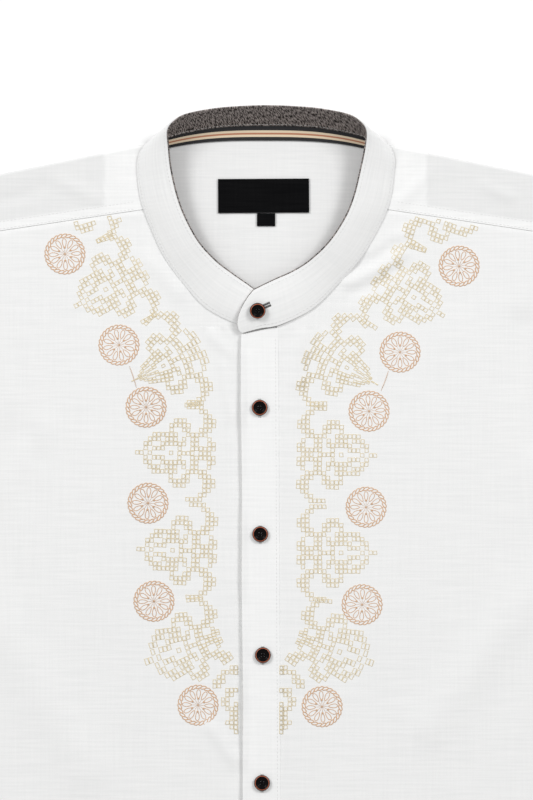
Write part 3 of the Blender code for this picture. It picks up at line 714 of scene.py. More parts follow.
def front_z(side, across, y):
    """Middle of a front's cloth, which has a shallow groove beside the placket."""
    groove = GROOVES[side]
    away = (across - PLACKET_HALF - groove.beside) / groove.width
    lap = lap_height(across) if side > 0 else 0.0
    lap = lap - groove.depth * np.exp(-(away**2)) * (y < BELOW_BAND_Y)
    return upper_z(side * across, y) + lap


def make_front(name, side, under):
    obj, i, j = grid(name, FRONT_COLUMNS, NECK_ROWS + BODY_ROWS + TUCK_ROWS)
    row = NECK_ROWS + BODY_ROWS - j
    points = front_points(side, under, i, np.maximum(row, 0))
    near_seam = np.clip(yoke_seam(points[:, 0]) - points[:, 1], 0, None)
    off_neck = np.abs(points[:, 0]) > TUCK_FROM_X
    points[:, 2] -= TUCK * (1 - smooth(near_seam / TUCK_EASE)) * off_neck
    points[:, 1] += np.where(row < 0, -row * TUCK_STEP, 0.0)
    place(obj, points)
    weave_map(obj, points[:, 0], points[:, 1])
    if side < 0:
        bpy.ops.object.mode_set(mode="EDIT")
        bpy.ops.mesh.select_all(action="SELECT")
        bpy.ops.mesh.flip_normals()
        bpy.ops.object.mode_set(mode="OBJECT")
    return obj


finish_sheet(make_front("front_right_cloth", -1, STAND_UNDERLAP), WHITE,
             0.172)
finish_sheet(make_front("front_left_cloth", 1, 0.0), WHITE, 0.16)

# %% [markdown]
# ## Placket
# The placket is a folded strip down the edge of the top front. It lies on both fronts, and its
# free edge, on the viewer's left, stands a little proud and throws a soft line of shadow.

# %% Placket
PLACKET_COLUMNS = 16
PLACKET_ROWS = 220
PLACKET_TOP = [(-13.4, -137.9), (6.8, -133.4), (13.4, -133.0)]
EDGE_LIFT = 2.1
LIFT_WIDTH = 5.0
EDGE_WANDER = 0.25
EDGE_COLUMN = 1.0
placket, i, j = grid("placket_cloth", PLACKET_COLUMNS, PLACKET_ROWS)
across = PLACKET_HALF * (2 * i / PLACKET_COLUMNS - 1)
top = np.interp(across, *zip(*PLACKET_TOP))
y = top + (HEM_Y - top) * (1 - j / PLACKET_ROWS)
x = centre_front(y) + across
lifted = EDGE_LIFT * (1 - smooth((across + PLACKET_HALF) / LIFT_WIDTH))
lifted *= 0.85 + 0.2 * np.sin(y / 17.0) + 0.12 * np.sin(y / 6.3 + 1.0)
x = x + EDGE_WANDER * np.sin(y / 23.0) * (across < -PLACKET_HALF + EDGE_COLUMN)
place(placket, np.column_stack([x, y, upper_z(x, y) + LAYER + lifted]))
weave_map(placket, x, y)
finish_sheet(placket, WHITE, 0.0166,
             thickness=LINED_SHELL, backed=1.0)

# %% [markdown]
# ## Band collar
# The band is two leaves of cloth, white outside and grey inside, turned and stitched along the
# free edge. The leaves meet at their edges and part a little between them. The grey one reaches
# a hair higher, which shows as a fine dark line along the front of the neck.

# %% Collar leaves
COLLAR_STEPS = 8
COLLAR_ROWS = 14
COLLAR_BULGE = 0.9
TAB_BOW = 7.0
TAB_FULLNESS = 0.75
TAB_FADE = 1.15
LAP_FROM_X, LAP_OVER_X, LAP_BELOW_Y = 50.0, 36.0, -60.0
LAP_HEIGHT = 2 * LAYER - 0.3
LAP_SHIFT = 1.6
FOOT_IN = 0.3
FOOT_STEEP = 1.38
LEAF_EDGE_APART = 0.42
LEAF_PART = 0.33
BAND_WIDTH = 30.0


def collar_edges():
    """The band's lower and upper edges, from the end that lies under to the end on top."""
    lower, upper = [], []
    sides = [(-1, s) for s in UNDER_END + COLLAR]
    sides += [(1, s) for s in COLLAR[-2::-1] + TAB_END[::-1]]
    for side, s in sides:
        near_front = smooth((LAP_FROM_X - s.seam_x) / LAP_OVER_X) * (s.seam_y < LAP_BELOW_Y)
        base = np.array([side * s.seam_x, s.seam_y, s.base_z])
        top = np.array([side * s.top_x, s.top_y, s.top_z])
        if side > 0:
            base[2] += LAP_HEIGHT * near_front
            top[2] += LAP_HEIGHT * near_front
        top[1] += LAP_SHIFT * near_front * side
        lean = top - base
        flat = np.array([lean[0], lean[1], 0.0])
        steep = abs(lean[2]) / np.linalg.norm(lean)
        base += flat / np.linalg.norm(flat) * (FOOT_IN + FOOT_STEEP * steep)
        base[0] += centre_front(base[1])
        top[0] += centre_front(top[1])
        lower.append(base)
        upper.append(top)
    return np.array(lower), np.array(upper)


def collar_grid(rows, reach=1.0):
    """Middle of the band and its outward normal at each column and row."""
    lower, upper = collar_edges()
    low, up = through(lower, COLLAR_STEPS), through(upper, COLLAR_STEPS)
    share = np.linspace(0, reach, rows + 1)[None, :, None]
    points = low[:, None, :] * (1 - share) + up[:, None, :] * share
    normal = np.cross(np.gradient(points, axis=1), np.gradient(points, axis=0))
    normal /= np.linalg.norm(normal, axis=2)[:, :, None]
    points = points + normal * (COLLAR_BULGE * 4 * share * (1 - share))
    return round_tab(points), normal


def round_tab(points):
    """The last columns bow outwards, so that the end is a rounded tab."""
    step = points[-1] - points[-COLLAR_STEPS]
    step /= np.linalg.norm(step, axis=1)[:, None]
    v = np.linspace(0, 1, points.shape[1])
    bow = TAB_BOW * np.clip(4 * v * (1 - v), 0, 1) ** TAB_FULLNESS
    for back_by in range(COLLAR_STEPS + 1):
        share = (1 - back_by / COLLAR_STEPS) ** TAB_FADE
        points[-1 - back_by] += step * (bow * share)[:, None]
    return points


def make_leaf(name, side, reach):
    points, normal = collar_grid(COLLAR_ROWS, reach)
    share = np.linspace(0, 1, COLLAR_ROWS + 1)[None, :, None]
    apart = LEAF_EDGE_APART + LEAF_PART * np.sqrt(np.clip(4 * share * (1 - share), 0, 1))
    moved = points + normal * side * apart
    obj, i, j = grid(name, len(moved) - 1, COLLAR_ROWS)
    place(obj, moved[i, j])
    run = np.linalg.norm(np.diff(points[:, COLLAR_ROWS // 2], axis=0), axis=1)
    run = np.concatenate([[0], np.cumsum(run)])
    weave_map(obj, run[i], j * BAND_WIDTH / COLLAR_ROWS)
    return obj


finish_sheet(make_leaf("collar_outer_cloth", 1, 1.0), WHITE,
             0.0142, backed=1.0)
finish_sheet(make_leaf("collar_inner_cloth", -1, 1.02), GREY,
             0.0142)

# %% [markdown]
# ## Neck tape, label and size tab
# A striped tape covers the seam inside the back neck. Its stripes run its whole length, so they
# are drawn across its map. The label and the tab below it are plain black satin.

# %% Striped tape material
TAPE_BLACK, TAPE_SAND, TAPE_RUST = (0.010, 0.010, 0.012), (0.80, 0.66, 0.48), (0.50, 0.20, 0.11)
TAPE_STRIPES = [(0.00, TAPE_BLACK), (0.22, TAPE_SAND), (0.37, TAPE_RUST), (0.48, TAPE_SAND),
                (0.63, TAPE_BLACK)]


def striped_tape():
    material, nodes, links, shader = new_material("striped tape", roughness=0.7)
    where = nodes.new("ShaderNodeUVMap")
    split = nodes.new("ShaderNodeSeparateXYZ")
    links.new(where.outputs["UV"], split.inputs[0])
    ramp = nodes.new("ShaderNodeValToRGB")
    ramp.color_ramp.interpolation = "CONSTANT"
    elements = ramp.color_ramp.elements
    elements.remove(elements[1])
    elements[0].color = (*TAPE_STRIPES[0][1], 1.0)
    for start, colour in TAPE_STRIPES[1:]:
        elements.new(start).color = (*colour, 1.0)
    links.new(split.outputs[1], ramp.inputs["Fac"])
    links.new(ramp.outputs["Color"], shader.inputs["Base Color"])
    return material


# %% Neck tape
TAPE_HALF = 74.0
TAPE_WIDTH = 11.6
TAPE_UNDER = 1.9
TAPE_NARROWING = 0.25
TAPE_COLUMNS = 80
TAPE_ROWS = 6
tape, i, j = grid("neck_tape_cloth", TAPE_COLUMNS, TAPE_ROWS)
x = TAPE_HALF * (2 * i / TAPE_COLUMNS - 1)
narrow = 1 - TAPE_NARROWING * (x / TAPE_HALF) ** 2
y = back_neck(x) + TAPE_UNDER - TAPE_WIDTH * narrow * (1 - j / TAPE_ROWS)
place(tape, np.column_stack([x, y, np.full(x.shape, LOWER_Z + LAYER)]))
weave_map(tape, x, j / TAPE_ROWS / MM)
finish_sheet(tape, striped_tape(), 0.00158)

# %% Label and size tab
PATCH_COLUMNS = 24
PATCH_ROWS = 10
PATCH_RIPPLE = 0.12
RIPPLE_STEP = 0.9


def make_patch(name, centre, size, turn):
    """A patch of this size, flat at its stitched top edge and gently rippled below it."""
    obj, i, j = grid(name, PATCH_COLUMNS, PATCH_ROWS)
    x = size[0] * (i / PATCH_COLUMNS - 0.5)
    y = size[1] * (j / PATCH_ROWS - 0.5)
    z = LOWER_Z + LAYER + PATCH_RIPPLE * np.sin(i * RIPPLE_STEP) * (j < PATCH_ROWS - 1)
    place(obj, np.column_stack([centre[0] + x - turn * y, centre[1] + y + turn * x, z]))
    weave_map(obj, x, y)
    finish_sheet(obj, SATIN, size[0] * size[1] * MM * MM)


make_patch("label_satin", LABEL_CENTRE, (65.5, 24.5), 0.006)
make_patch("size_tab_satin", (0.4, -55.2), (13.0, 9.2), 0.0)

# %% [markdown]
# ## Sleeves and cuffs
# A sleeve is a tube pressed flat, folded along both edges. Its section is a closed loop: across
# the top, round one fold, back along the bottom and round the other fold.

# %% Tube section
SLEEVE_ANGLE = math.radians(34.0)
SLEEVE_TOP_LENGTH = 555.0
SLEEVE_END_WIDTH = 127.0
SLEEVE_CAP_REACH = 70.0
SLEEVE_CAP_ANGLE = math.radians(15.0)
CUFF_LENGTH = 65.0
CUFF_WIDTH = 119.0
ACROSS_STEPS = 40
TURN_STEPS = 6
SLEEVE_ROWS = 120
AXIS = np.array([math.cos(SLEEVE_ANGLE), -math.sin(SLEEVE_ANGLE)])
ACROSS = np.array([-math.sin(SLEEVE_ANGLE), -math.cos(SLEEVE_ANGLE)])
SIDES = ((-1, "right"), (1, "left"))


def tube_section():
    """Rows of (share across, inset from the nearer edge in fold radii, height from -1 to 1)."""
    rows = [(k / ACROSS_STEPS, 1.0, 1.0) for k in range(ACROSS_STEPS + 1)]
    for k in range(1, TURN_STEPS):
        turn = math.pi * (0.5 - k / TURN_STEPS)
        rows.append((1.0, 1 - math.cos(turn), math.sin(turn)))
    rows += [(1 - k / ACROSS_STEPS, 1.0, -1.0) for k in range(ACROSS_STEPS + 1)]
    for k in range(1, TURN_STEPS):
        turn = math.pi * (k / TURN_STEPS - 0.5)
        rows.append((0.0, 1 - math.cos(turn), math.sin(turn)))
    return np.array(rows + rows[:1])


SECTION = tube_section()


def across_tube(length, share, inset):
    """The share across a pressed tube of this width, with its folded edges drawn in."""
    edge = FOLD_R * inset / length
    inside = FOLD_R / length + share * (1 - 2 * FOLD_R / length)
    return np.where(share == 0.0, edge, np.where(share == 1.0, 1 - edge, inside))


def make_tube(name, side, rows, length, tube_points):
    """A pressed tube: its columns follow the section, and its rows run down its length."""
    obj, i, j = grid(name, len(SECTION) - 1, rows)
    share, inset, height = SECTION[i].T
    plan, z = tube_points(j / rows, share, inset, height)
    place(obj, np.column_stack([side * plan[:, 0], plan[:, 1], z]))
    way_round = share * SLEEVE_END_WIDTH * np.where(height < 0, -1, 1)
    weave_map(obj, way_round, j / rows * length)
    close_tube(obj)
    return obj


# %% Creases along a sleeve
SleeveCrease = namedtuple("SleeveCrease", "start end across_start across_end width height")
SLEEVE_CREASES = [
    SleeveCrease(0.02, 0.34, 0.30, 0.52, 14.0, 1.5),
    SleeveCrease(0.18, 0.62, 0.75, 0.55, 12.0, 1.2),
    SleeveCrease(0.55, 0.98, 0.30, 0.38, 9.0, 1.4),
    SleeveCrease(0.72, 1.00, 0.66, 0.62, 7.0, 1.2),
]
FLAT_AT_FOLDS = 0.12


def sleeve_height(along, across):
    total = np.zeros(along.shape)
    for f in SLEEVE_CREASES:
        at = np.clip((along - f.start) / (f.end - f.start), 0, 1)
        middle = f.across_start + (f.across_end - f.across_start) * at
        past = abs(along - np.clip(along, f.start, f.end)) * 8
        away = (across - middle) * SLEEVE_END_WIDTH / f.width
        total += f.height * np.exp(-away * away - past * past)
    return total * smooth(across / FLAT_AT_FOLDS) * smooth((1 - across) / FLAT_AT_FOLDS)


# %% Sleeves
SEAM_BOW_SHARE = 0.45
CAP_WEIGHT = 0.35


def sleeve_edges(along):
    t = along[:, None]
    shoulder, underarm = SLEEVE_SEAM[0], SLEEVE_SEAM[-1]
    cap = shoulder + SLEEVE_CAP_REACH * np.array(
        [math.cos(SLEEVE_CAP_ANGLE), -math.sin(SLEEVE_CAP_ANGLE)])
    wrist = shoulder + SLEEVE_TOP_LENGTH * AXIS
    bend = CAP_WEIGHT * cap + (1 - CAP_WEIGHT) * (shoulder + wrist) / 2
    upper = (1 - t) ** 2 * shoulder + 2 * t * (1 - t) * bend + t * t * wrist
    lower = underarm + t * (wrist + SLEEVE_END_WIDTH * ACROSS - underarm)
    return upper, lower


def sleeve_points(along, share, inset, height):
    upper, lower = sleeve_edges(along)
    w = across_tube(np.linalg.norm(lower - upper, axis=1), share, inset)
    plan = upper + (lower - upper) * w[:, None]
    count = len(SLEEVE_SEAM) - 1
    curve = np.column_stack(
        [np.interp(w * count, range(count + 1), SLEEVE_SEAM[:, k]) for k in range(2)])
    start, end = SLEEVE_SEAM[0], SLEEVE_SEAM[-1]
    bow = curve - (start + (end - start) * w[:, None])
    plan = plan + bow * (1 - smooth(along / SEAM_BOW_SHARE))[:, None]
    return plan, FOLD_Z + FOLD_R * height + np.where(height == 1.0, sleeve_height(along, w), 0.0)


for side, word in SIDES:
    sleeve = make_tube(f"sleeve_{word}_cloth", side, SLEEVE_ROWS, SLEEVE_TOP_LENGTH, sleeve_points)
    finish_sheet(sleeve, WHITE, 0.22)

# %% Cuffs
CUFF_ROWS = 20
CUFF_GAP = 0.3


def cuff_corner():
    wrist = sleeve_edges(np.array([1.0]))[0][0]
    return wrist + CUFF_GAP * AXIS + (SLEEVE_END_WIDTH - CUFF_WIDTH) / 2 * ACROSS


def cuff_points(along, share, inset, height):
    w = across_tube(CUFF_WIDTH, share, inset)
    start = cuff_corner() + AXIS * (CUFF_LENGTH * along)[:, None]
    return start + ACROSS * (CUFF_WIDTH * w)[:, None], FOLD_Z + FOLD_R * height


for side, word in SIDES:
    cuff = make_tube(f"cuff_{word}_cloth", side, CUFF_ROWS, CUFF_LENGTH, cuff_points)
    finish_sheet(cuff, WHITE, 0.0155,
                 thickness=LINED_SHELL)

# %% [markdown]
# ## Buttons
# The buttons are turned black resin with a fine copper-coloured ring inside the rim and four
# holes. One is modelled as a disc whose rings are extruded and scaled into a section, the holes
# are cut, and the rest are copies with meshes of their own.

# %% One button, face up at the origin
BUTTON_SECTION = [
    (5.0, 0.0), (5.6, 0.55), (5.75, 1.25), (5.6, 1.95), (5.25, 2.38), (4.75, 2.58), (4.3, 2.55),
    (3.85, 2.3), (3.5, 1.85), (3.1, 1.62), (1.6, 1.58),
]
BUTTON_MIDDLE = 1.3
COPPER_BAND = (4.8, 5.3)
COPPER_ABOVE = 1.9
HOLE_AT = 1.365
HOLE_R = 0.42
RESIN = new_material("black button resin", colour=(0.004, 0.003, 0.003, 1.0), roughness=0.22,
                     specular=0.1)[0]
COPPER = new_material("copper ring", colour=(0.42, 0.11, 0.05, 1.0), roughness=0.35)[0]


def make_button():
    deselect()
    bpy.ops.mesh.primitive_circle_add(vertices=40, radius=BUTTON_SECTION[0][0] * MM,
                                      fill_type="NGON", location=(0, 0, 0))
    obj = bpy.context.object
    bpy.ops.object.mode_set(mode="EDIT")
    bpy.ops.mesh.select_all(action="SELECT")
    for (r0, z0), (r1, z1) in zip(BUTTON_SECTION, BUTTON_SECTION[1:]):
        bpy.ops.mesh.extrude_region_move(TRANSFORM_OT_translate={"value": (0, 0, (z1 - z0) * MM)})
        bpy.ops.transform.resize(value=(r1 / r0, r1 / r0, 1.0))
    bpy.ops.mesh.select_all(action="SELECT")
    bpy.ops.mesh.normals_make_consistent(inside=False)
    bpy.ops.object.mode_set(mode="OBJECT")
    for k in range(4):
        turn = math.pi / 2 * k + math.pi / 4
        bpy.ops.mesh.primitive_cylinder_add(
            vertices=16, radius=HOLE_R * MM, depth=8 * MM,
            location=(HOLE_AT * MM * math.cos(turn), HOLE_AT * MM * math.sin(turn), 0))
        drill = bpy.context.object
        cut = obj.modifiers.new("Hole", "BOOLEAN")
        cut.object = drill
        cut.solver = "EXACT"
        bpy.context.view_layer.objects.active = obj
        bpy.ops.object.modifier_apply(modifier=cut.name)
        bpy.data.objects.remove(drill)
    return obj


button = make_button()
button.data.materials.append(RESIN)
button.data.materials.append(COPPER)
for face in button.data.polygons:
    r = math.hypot(face.center.x, face.center.y) / MM
    on_ring = COPPER_BAND[0] < r < COPPER_BAND[1] and face.center.z > COPPER_ABOVE * MM
    face.material_index = int(on_ring)
button.select_set(True)
bpy.context.view_layer.objects.active = button
bpy.ops.object.shade_smooth_by_angle(angle=math.radians(40))
print("button faces:", len(button.data.polygons))

# %% Buttons in their places
PLACKET_BUTTONS = [f"button_{k}" for k in range(1, 7)]
BUTTON_NODES = ["button_collar", *PLACKET_BUTTONS, "cuff_button_left", "cuff_button_right"]
COLLAR_BUTTON_AT = (-5.8, -120.3)
TAB_COLUMNS = 24


def put_button(node):
    """Stands a copy where the solid is. The solid's own matrix isn't kept, so its box is read."""
    low, high = (np.array(corner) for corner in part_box(node))
    obj = button.copy()
    obj.data = button.data.copy()
    obj.name = node + "_turned"
    bpy.context.collection.objects.link(obj)
    points = np.empty(len(obj.data.vertices) * 3, np.float32)
    obj.data.vertices.foreach_get("co", points)
    points = points.reshape(-1, 3)
    middle = (low + high) / 2
    if node == "button_collar":
        points[:, 2] -= BUTTON_MIDDLE * MM
        lean = tab_lean()
        x_way = np.cross([0, 1, 0], lean)
        x_way /= np.linalg.norm(x_way)
        turn = np.column_stack([x_way, np.cross(lean, x_way), lean])
        points = points @ turn.T + middle
    else:
        points += np.array([middle[0], middle[1], low[2]])
    obj.data.vertices.foreach_set("co", points.astype(np.float32).ravel())
    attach(obj, "root")
    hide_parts(node)
    return obj


def tab_lean():
    """The way that the tab's face looks, near its button."""
    points, normal = collar_grid(COLLAR_ROWS)
    near = points[-TAB_COLUMNS:].reshape(-1, 3)
    away = np.hypot(near[:, 0] - COLLAR_BUTTON_AT[0], near[:, 1] - COLLAR_BUTTON_AT[1])
    lean = normal[-TAB_COLUMNS:].reshape(-1, 3)[np.argmin(away)]
    return lean / np.linalg.norm(lean)


buttons = [put_button(node) for node in BUTTON_NODES]
bpy.data.objects.remove(button)
print("buttons:", len(buttons))

# %% [markdown]
# ## Thread
# Stitches and embroidery are hundreds of short lengths of thread. Each length is a path, and a
# small closed section is swept along many paths at once. The result is one joined mesh.

# %% Sweep thread along many paths
Strand = namedtuple("Strand", "width height lift sides closed")
THREAD_END = 0.45


def sweep(paths, strand):
    """Points and faces of threads along paths, an array of (path, point, xyz) in millimetres."""
    width, height, _, sides, closed = strand
    if closed:
        along = np.roll(paths, -1, axis=1) - np.roll(paths, 1, axis=1)
    else:
        along = np.gradient(paths, axis=1)
    along /= np.linalg.norm(along, axis=2)[:, :, None]
    beside = np.cross(along, [0.0, 0.0, 1.0])
    beside /= np.linalg.norm(beside, axis=2)[:, :, None]
    up = np.cross(beside, along)
    angle = 2 * math.pi * np.arange(sides) / sides + math.pi / sides
    count, length = paths.shape[:2]
    size = np.ones(length)
    if not closed:
        size[0] = size[-1] = THREAD_END
    ring = (beside[:, :, None] * (np.cos(angle)[None, None, :, None] * width / 2)
            + up[:, :, None] * (np.sin(angle)[None, None, :, None] * height / 2))
    points = paths[:, :, None] + ring * size[None, :, None, None]
    index = np.arange(count * length * sides).reshape(count, length, sides)
    if closed:
        here, ahead = index, np.roll(index, -1, axis=1)
    else:
        here, ahead = index[:, :-1], index[:, 1:]
    beside_here, beside_ahead = np.roll(here, -1, axis=2), np.roll(ahead, -1, axis=2)
    faces = np.stack([here, ahead, beside_ahead, beside_here], axis=-1).reshape(-1, 4)
    if not closed:
        caps = [index[:, 0, :], index[:, -1, ::-1]]
        faces = np.vstack([faces] + [cap.reshape(-1, 4) for cap in caps])
    return points.reshape(-1, 3), faces


def thread_piece(name, bundles, material):
    """Joins the points and faces of several sweeps into one piece."""
    points, faces, start = [], [], 0
    for some_points, some_faces in bundles:
        points.append(some_points)
        faces.append(some_faces + start)
        start += len(some_points)
    points = np.vstack(points) * MM
    points[:, 1] += DRAFT_Y
    mesh = bpy.data.meshes.new(name)
    mesh.from_pydata(points.tolist(), [], np.vstack(faces).tolist())
    mesh.shade_smooth()
    obj = bpy.data.objects.new(name, mesh)
    bpy.context.collection.objects.link(obj)
    mesh.materials.append(material)
    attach(obj, "root")
    print(name, "faces", len(mesh.polygons))


def on_front(x, y, lift):
    """Points on the outer face of the fronts, lifted by this much."""
    across = x - centre_front(y)
    z = upper_z(x, y) + np.where(across > 0, lap_height(abs(across)), 0.0)
    return np.stack([x, y, z + SHELL / 2 + lift], axis=-1)


# %% [markdown]
# ## Rosettes
# Six rosettes run down each front in tan thread. A ring of chain stitch goes round twelve open
# loops, whose feet are tied to the middle by short stitches, with knots in between. The places
# follow the photograph, and the rosette is an ordinary needlework flower.

# %% Rosette
Spot = namedtuple("Spot", "x y turn")
ROSETTES = [
    Spot(-144.4, -79.9, 3.0),
    Spot(-105.5, -145.4, 12.0),
    Spot(-86.0, -190.1, 0.0),
    Spot(-84.6, -259.2, -4.0),
    Spot(-80.3, -329.8, 2.0),
    Spot(-48.6, -404.6, -3.0),
    Spot(139.3, -88.6, 8.0),
    Spot(96.8, -150.5, 0.0),
    Spot(74.5, -193.0, 5.0),
    Spot(72.4, -262.1, 0.0),
    Spot(69.5, -332.3, -2.0),
    Spot(40.7, -405.7, 4.0),
]
ROSETTE_R = 13.2
PETALS = 12
LOOP_FOOT = 4.7
LINKS = 26
PETAL_REACH = 11.2
PETAL_HALF = 1.75
LINK_WIDTH = 2.5
LINK_OVERLAP = 0.62
SPOKE_FOOT = 0.8
KNOT_R = 0.5
PETAL_STRAND = Strand(0.52, 0.34, 0.10, 5, True)
CHAIN_STRAND = Strand(0.70, 0.40, 0.16, 5, True)
SPOKE_STRAND = Strand(0.36, 0.26, 0.08, 4, False)
KNOT_STRAND = Strand(0.80, 0.50, 0.22, 4, True)
LOOSE_STRAND = Strand(0.42, 0.35, 0.30, 4, False)


def turns(count):
    """Equal turns of a full circle, from 0."""
    return 2 * math.pi * np.arange(count) / count


def out_at(turn, reach, beside=0.0):
    """Flat places this far out from the middle at a turn, and this far beside that line."""
    return np.stack([reach * np.sin(turn) + beside * np.cos(turn),
                     reach * np.cos(turn) - beside * np.sin(turn)], axis=-1)


def loops_round(count, inner, outer, half_width, steps):
    """Long loops that point out from the middle, one for each direction."""
    t = turns(steps)
    share = 0.5 - 0.5 * np.cos(t)
    wide = half_width * np.sin(t) * (0.55 + 0.45 * share)
    return out_at(turns(count)[:, None], inner + (outer - inner) * share, wide)


def chain_round(radius, count, width, steps):
    """The links of a ring of chain stitch, which slant like the strands of a rope."""
    t = turns(steps)
    along = 2 * math.pi * radius / count * LINK_OVERLAP * np.cos(t)
    out = width * (0.45 * np.sin(t) + 0.3 * np.cos(t))
    return out_at(turns(count)[:, None] + along / radius, radius + out)


def spokes_round(count, inner, outer):
    """Short straight stitches that point out from the middle."""
    return out_at(turns(count)[:, None], np.linspace(inner, outer, 3))


def knots(radius, count, size):
    """Small rings of thread for knots: one in the middle, and a circle of others round it."""
    places = np.vstack([[0.0, 0.0], out_at(turns(count), radius)])
    t = turns(6)
    return places[:, None] + size * np.column_stack([np.cos(t), np.sin(t)])[None]


def laid(flat, spot, lift):
    """Flat paths turned and put on the cloth at a spot."""
    angle = math.radians(spot.turn)
    x = spot.x + flat[..., 0] * math.cos(angle) - flat[..., 1] * math.sin(angle)
    y = spot.y + flat[..., 0] * math.sin(angle) + flat[..., 1] * math.cos(angle)
    return on_front(x, y, lift)


def rosette_threads(spot):
    parts = [
        (loops_round(PETALS, LOOP_FOOT, PETAL_REACH, PETAL_HALF, 14), PETAL_STRAND),
        (chain_round(ROSETTE_R, LINKS, LINK_WIDTH, 10), CHAIN_STRAND),
        (spokes_round(PETALS, SPOKE_FOOT, LOOP_FOOT), SPOKE_STRAND),
        (knots(LOOP_FOOT, PETALS // 2, KNOT_R), KNOT_STRAND),
    ]
    return [sweep(laid(flat, spot, strand.lift), strand) for flat, strand in parts]


def loose_thread(start, end):
    """A thread left between two rosettes where the needle moved on."""
    share = np.linspace(0, 1, 5)
    x = start[0] + (end[0] - start[0]) * share + 0.3 * np.sin(3 * share)
    y = start[1] + (end[1] - start[1]) * share
    return sweep(on_front(x, y, LOOSE_STRAND.lift)[None], LOOSE_STRAND)


LOOSE = {-1: ((-98.0, -160.5), (-93.0, -176.0)), 1: ((88.5, -164.0), (83.0, -178.5))}
for side, word in SIDES:
    spots = [spot for spot in ROSETTES if spot.x * side > 0]
    bundles = [bundle for spot in spots for bundle in rosette_threads(spot)]
    thread_piece(f"rosettes_{word}", bundles + [loose_thread(*LOOSE[side])], TAN)

# %% [markdown]
# ## Leaf border
# Beside the placket runs a border in ecru thread. It is worked on counted threads: every mark is
# a small square outline, and the squares form a leaf with a winding stem. The chart below shows
# half of one repeat, from its middle row outwards, with the stem on the right.

# %% Chart of the border
LEAF_CHART = [
    "XX.X....X.XXXX.XXX.",
    "..X.XXX...X..XXXXXX",
    "..XX..XXXXXX.XX..XX",
    "...XXX.XXX.X.XX..X.",
    "....XXXXXX..XXXXX..",
    "........X..XX..XXX.",
    "........XXXXX...XXX",
    ".........XXX....XXX",
    "................XX.",
    "...............XX..",
    "............XXXX...",
]
REPEAT_ROWS = 2 * len(LEAF_CHART) - 1
STEM_COLUMN = 17
PITCH_OUT = 3.05
PITCH_DOWN = 3.33

# %% [markdown]
# The border bends round the neck and runs under the placket at its lower end. Each row places one
# repeat, or a part of it: its side, where its stem is, how far it is turned above and below its
# middle row, and which rows of the chart it has. Where the two turns differ the leaf is bent along
# one of its columns: squares spread on the outer side of the bend and crowd on the inner side.

# %% Repeats of the border
Repeat = namedtuple("Repeat", "side x y above below first last")
REPEATS = [
    Repeat(-1, -115.0, -34.0, 17, 17, -10, 10),
    Repeat(-1, -91.0, -92.0, 29, 29, -10, 10),
    Repeat(-1, -49.0, -148.0, 48, 5, -10, 10),
    Repeat(-1, -40.5, -223.5, -1, -1, -11, 10),
    Repeat(-1, -39.5, -294.0, -2, -2, -10, 10),
    Repeat(-1, -36.5, -356.0, 5, 34, -10, 7),
    Repeat(1, 110.0, -41.0, 18, 18, -10, 10),
    Repeat(1, 83.5, -96.5, 32, 32, -10, 10),
    Repeat(1, 34.5, -148.5, 49, 9, -10, 10),
    Repeat(1, 27.0, -224.0, 1, 1, -11, 10),
    Repeat(1, 27.0, -295.0, 0, 0, -10, 10),
    Repeat(1, 27.5, -357.0, 5, 34, -10, 7),
]
BENT_COLUMN = 11
BEND_ROWS = 6.0
BEND_REACH = 12
BEND_STEPS = 97

# %% [markdown]
# At its lower end the border turns in under the placket. A short link and a hooked tail are all
# that shows there, on each side, so they have small charts of their own. Their first column is the
# one nearest the placket.

# %% Lower end of the border
TAIL_X = -5.0
TAIL_OUT = 16.3
TAIL_TOP = -393.8
TAIL_CHART = ["XXX.", ".XX.", "..XX", "X.XX", "XXX.", "XX..", "XX..", "XXX.", "XX..", "X..."]
LINK_TOP = -377.6
LINK_CHART = ["XX....", "XXXX..", "...XX.", "...XXX", "....XX"]
SQUARE = np.array([(-1, -1), (1, -1), (1, 1), (-1, 1)])
SQUARE_HALF = 0.4
SQUARE_STRAND = Strand(0.66, 0.34, 0.10, 5, True)
UNDER_YOKE = 0.8
UNDER_PLACKET = 2.0
UNEVEN = 0.10
rng = np.random.default_rng(11)


def marked(chart, rows, columns):
    """Column and row of each marked square of a chart."""
    return np.array([(c, r) for r in rows for c in columns if chart[r][c] == "X"], float)


def on_repeat(repeat, column, row):
    """Flat places of columns and rows of a repeat, whole or between two squares."""
    rows = np.linspace(-BEND_REACH, BEND_REACH, BEND_STEPS)
    bent = smooth(0.5 + rows / (2 * BEND_ROWS))
    turn = np.radians(repeat.above + (repeat.below - repeat.above) * bent)
    out_way = np.column_stack([repeat.side * np.cos(turn), -np.sin(turn)])
    down_way = np.column_stack([-repeat.side * np.sin(turn), -np.cos(turn)])
    steps = (down_way[1:] + down_way[:-1]) / 2 * PITCH_DOWN * (rows[1] - rows[0])
    line = np.vstack([[0.0, 0.0], np.cumsum(steps, axis=0)])
    middle = len(rows) // 2
    start = (np.array([repeat.x, repeat.y]) - line[middle]
             + (STEM_COLUMN - BENT_COLUMN) * PITCH_OUT * out_way[middle])
    return np.stack([start[k] + np.interp(row, rows, line[:, k])
                     + (BENT_COLUMN - column) * PITCH_OUT * np.interp(row, rows, out_way[:, k])
                     for k in (0, 1)], axis=-1)


def repeat_squares(repeat):
    """Corners of the marked squares of one repeat, on the flat draft."""
    whole = [LEAF_CHART[min(abs(r), REPEAT_ROWS - abs(r))]
             for r in range(repeat.first, repeat.last + 1)]
    cells = marked(whole, range(len(whole)), range(len(LEAF_CHART[0])))
    cells = (cells + [0, repeat.first])[:, None] + SQUARE_HALF * SQUARE
    return on_repeat(repeat, cells[..., 0], cells[..., 1])


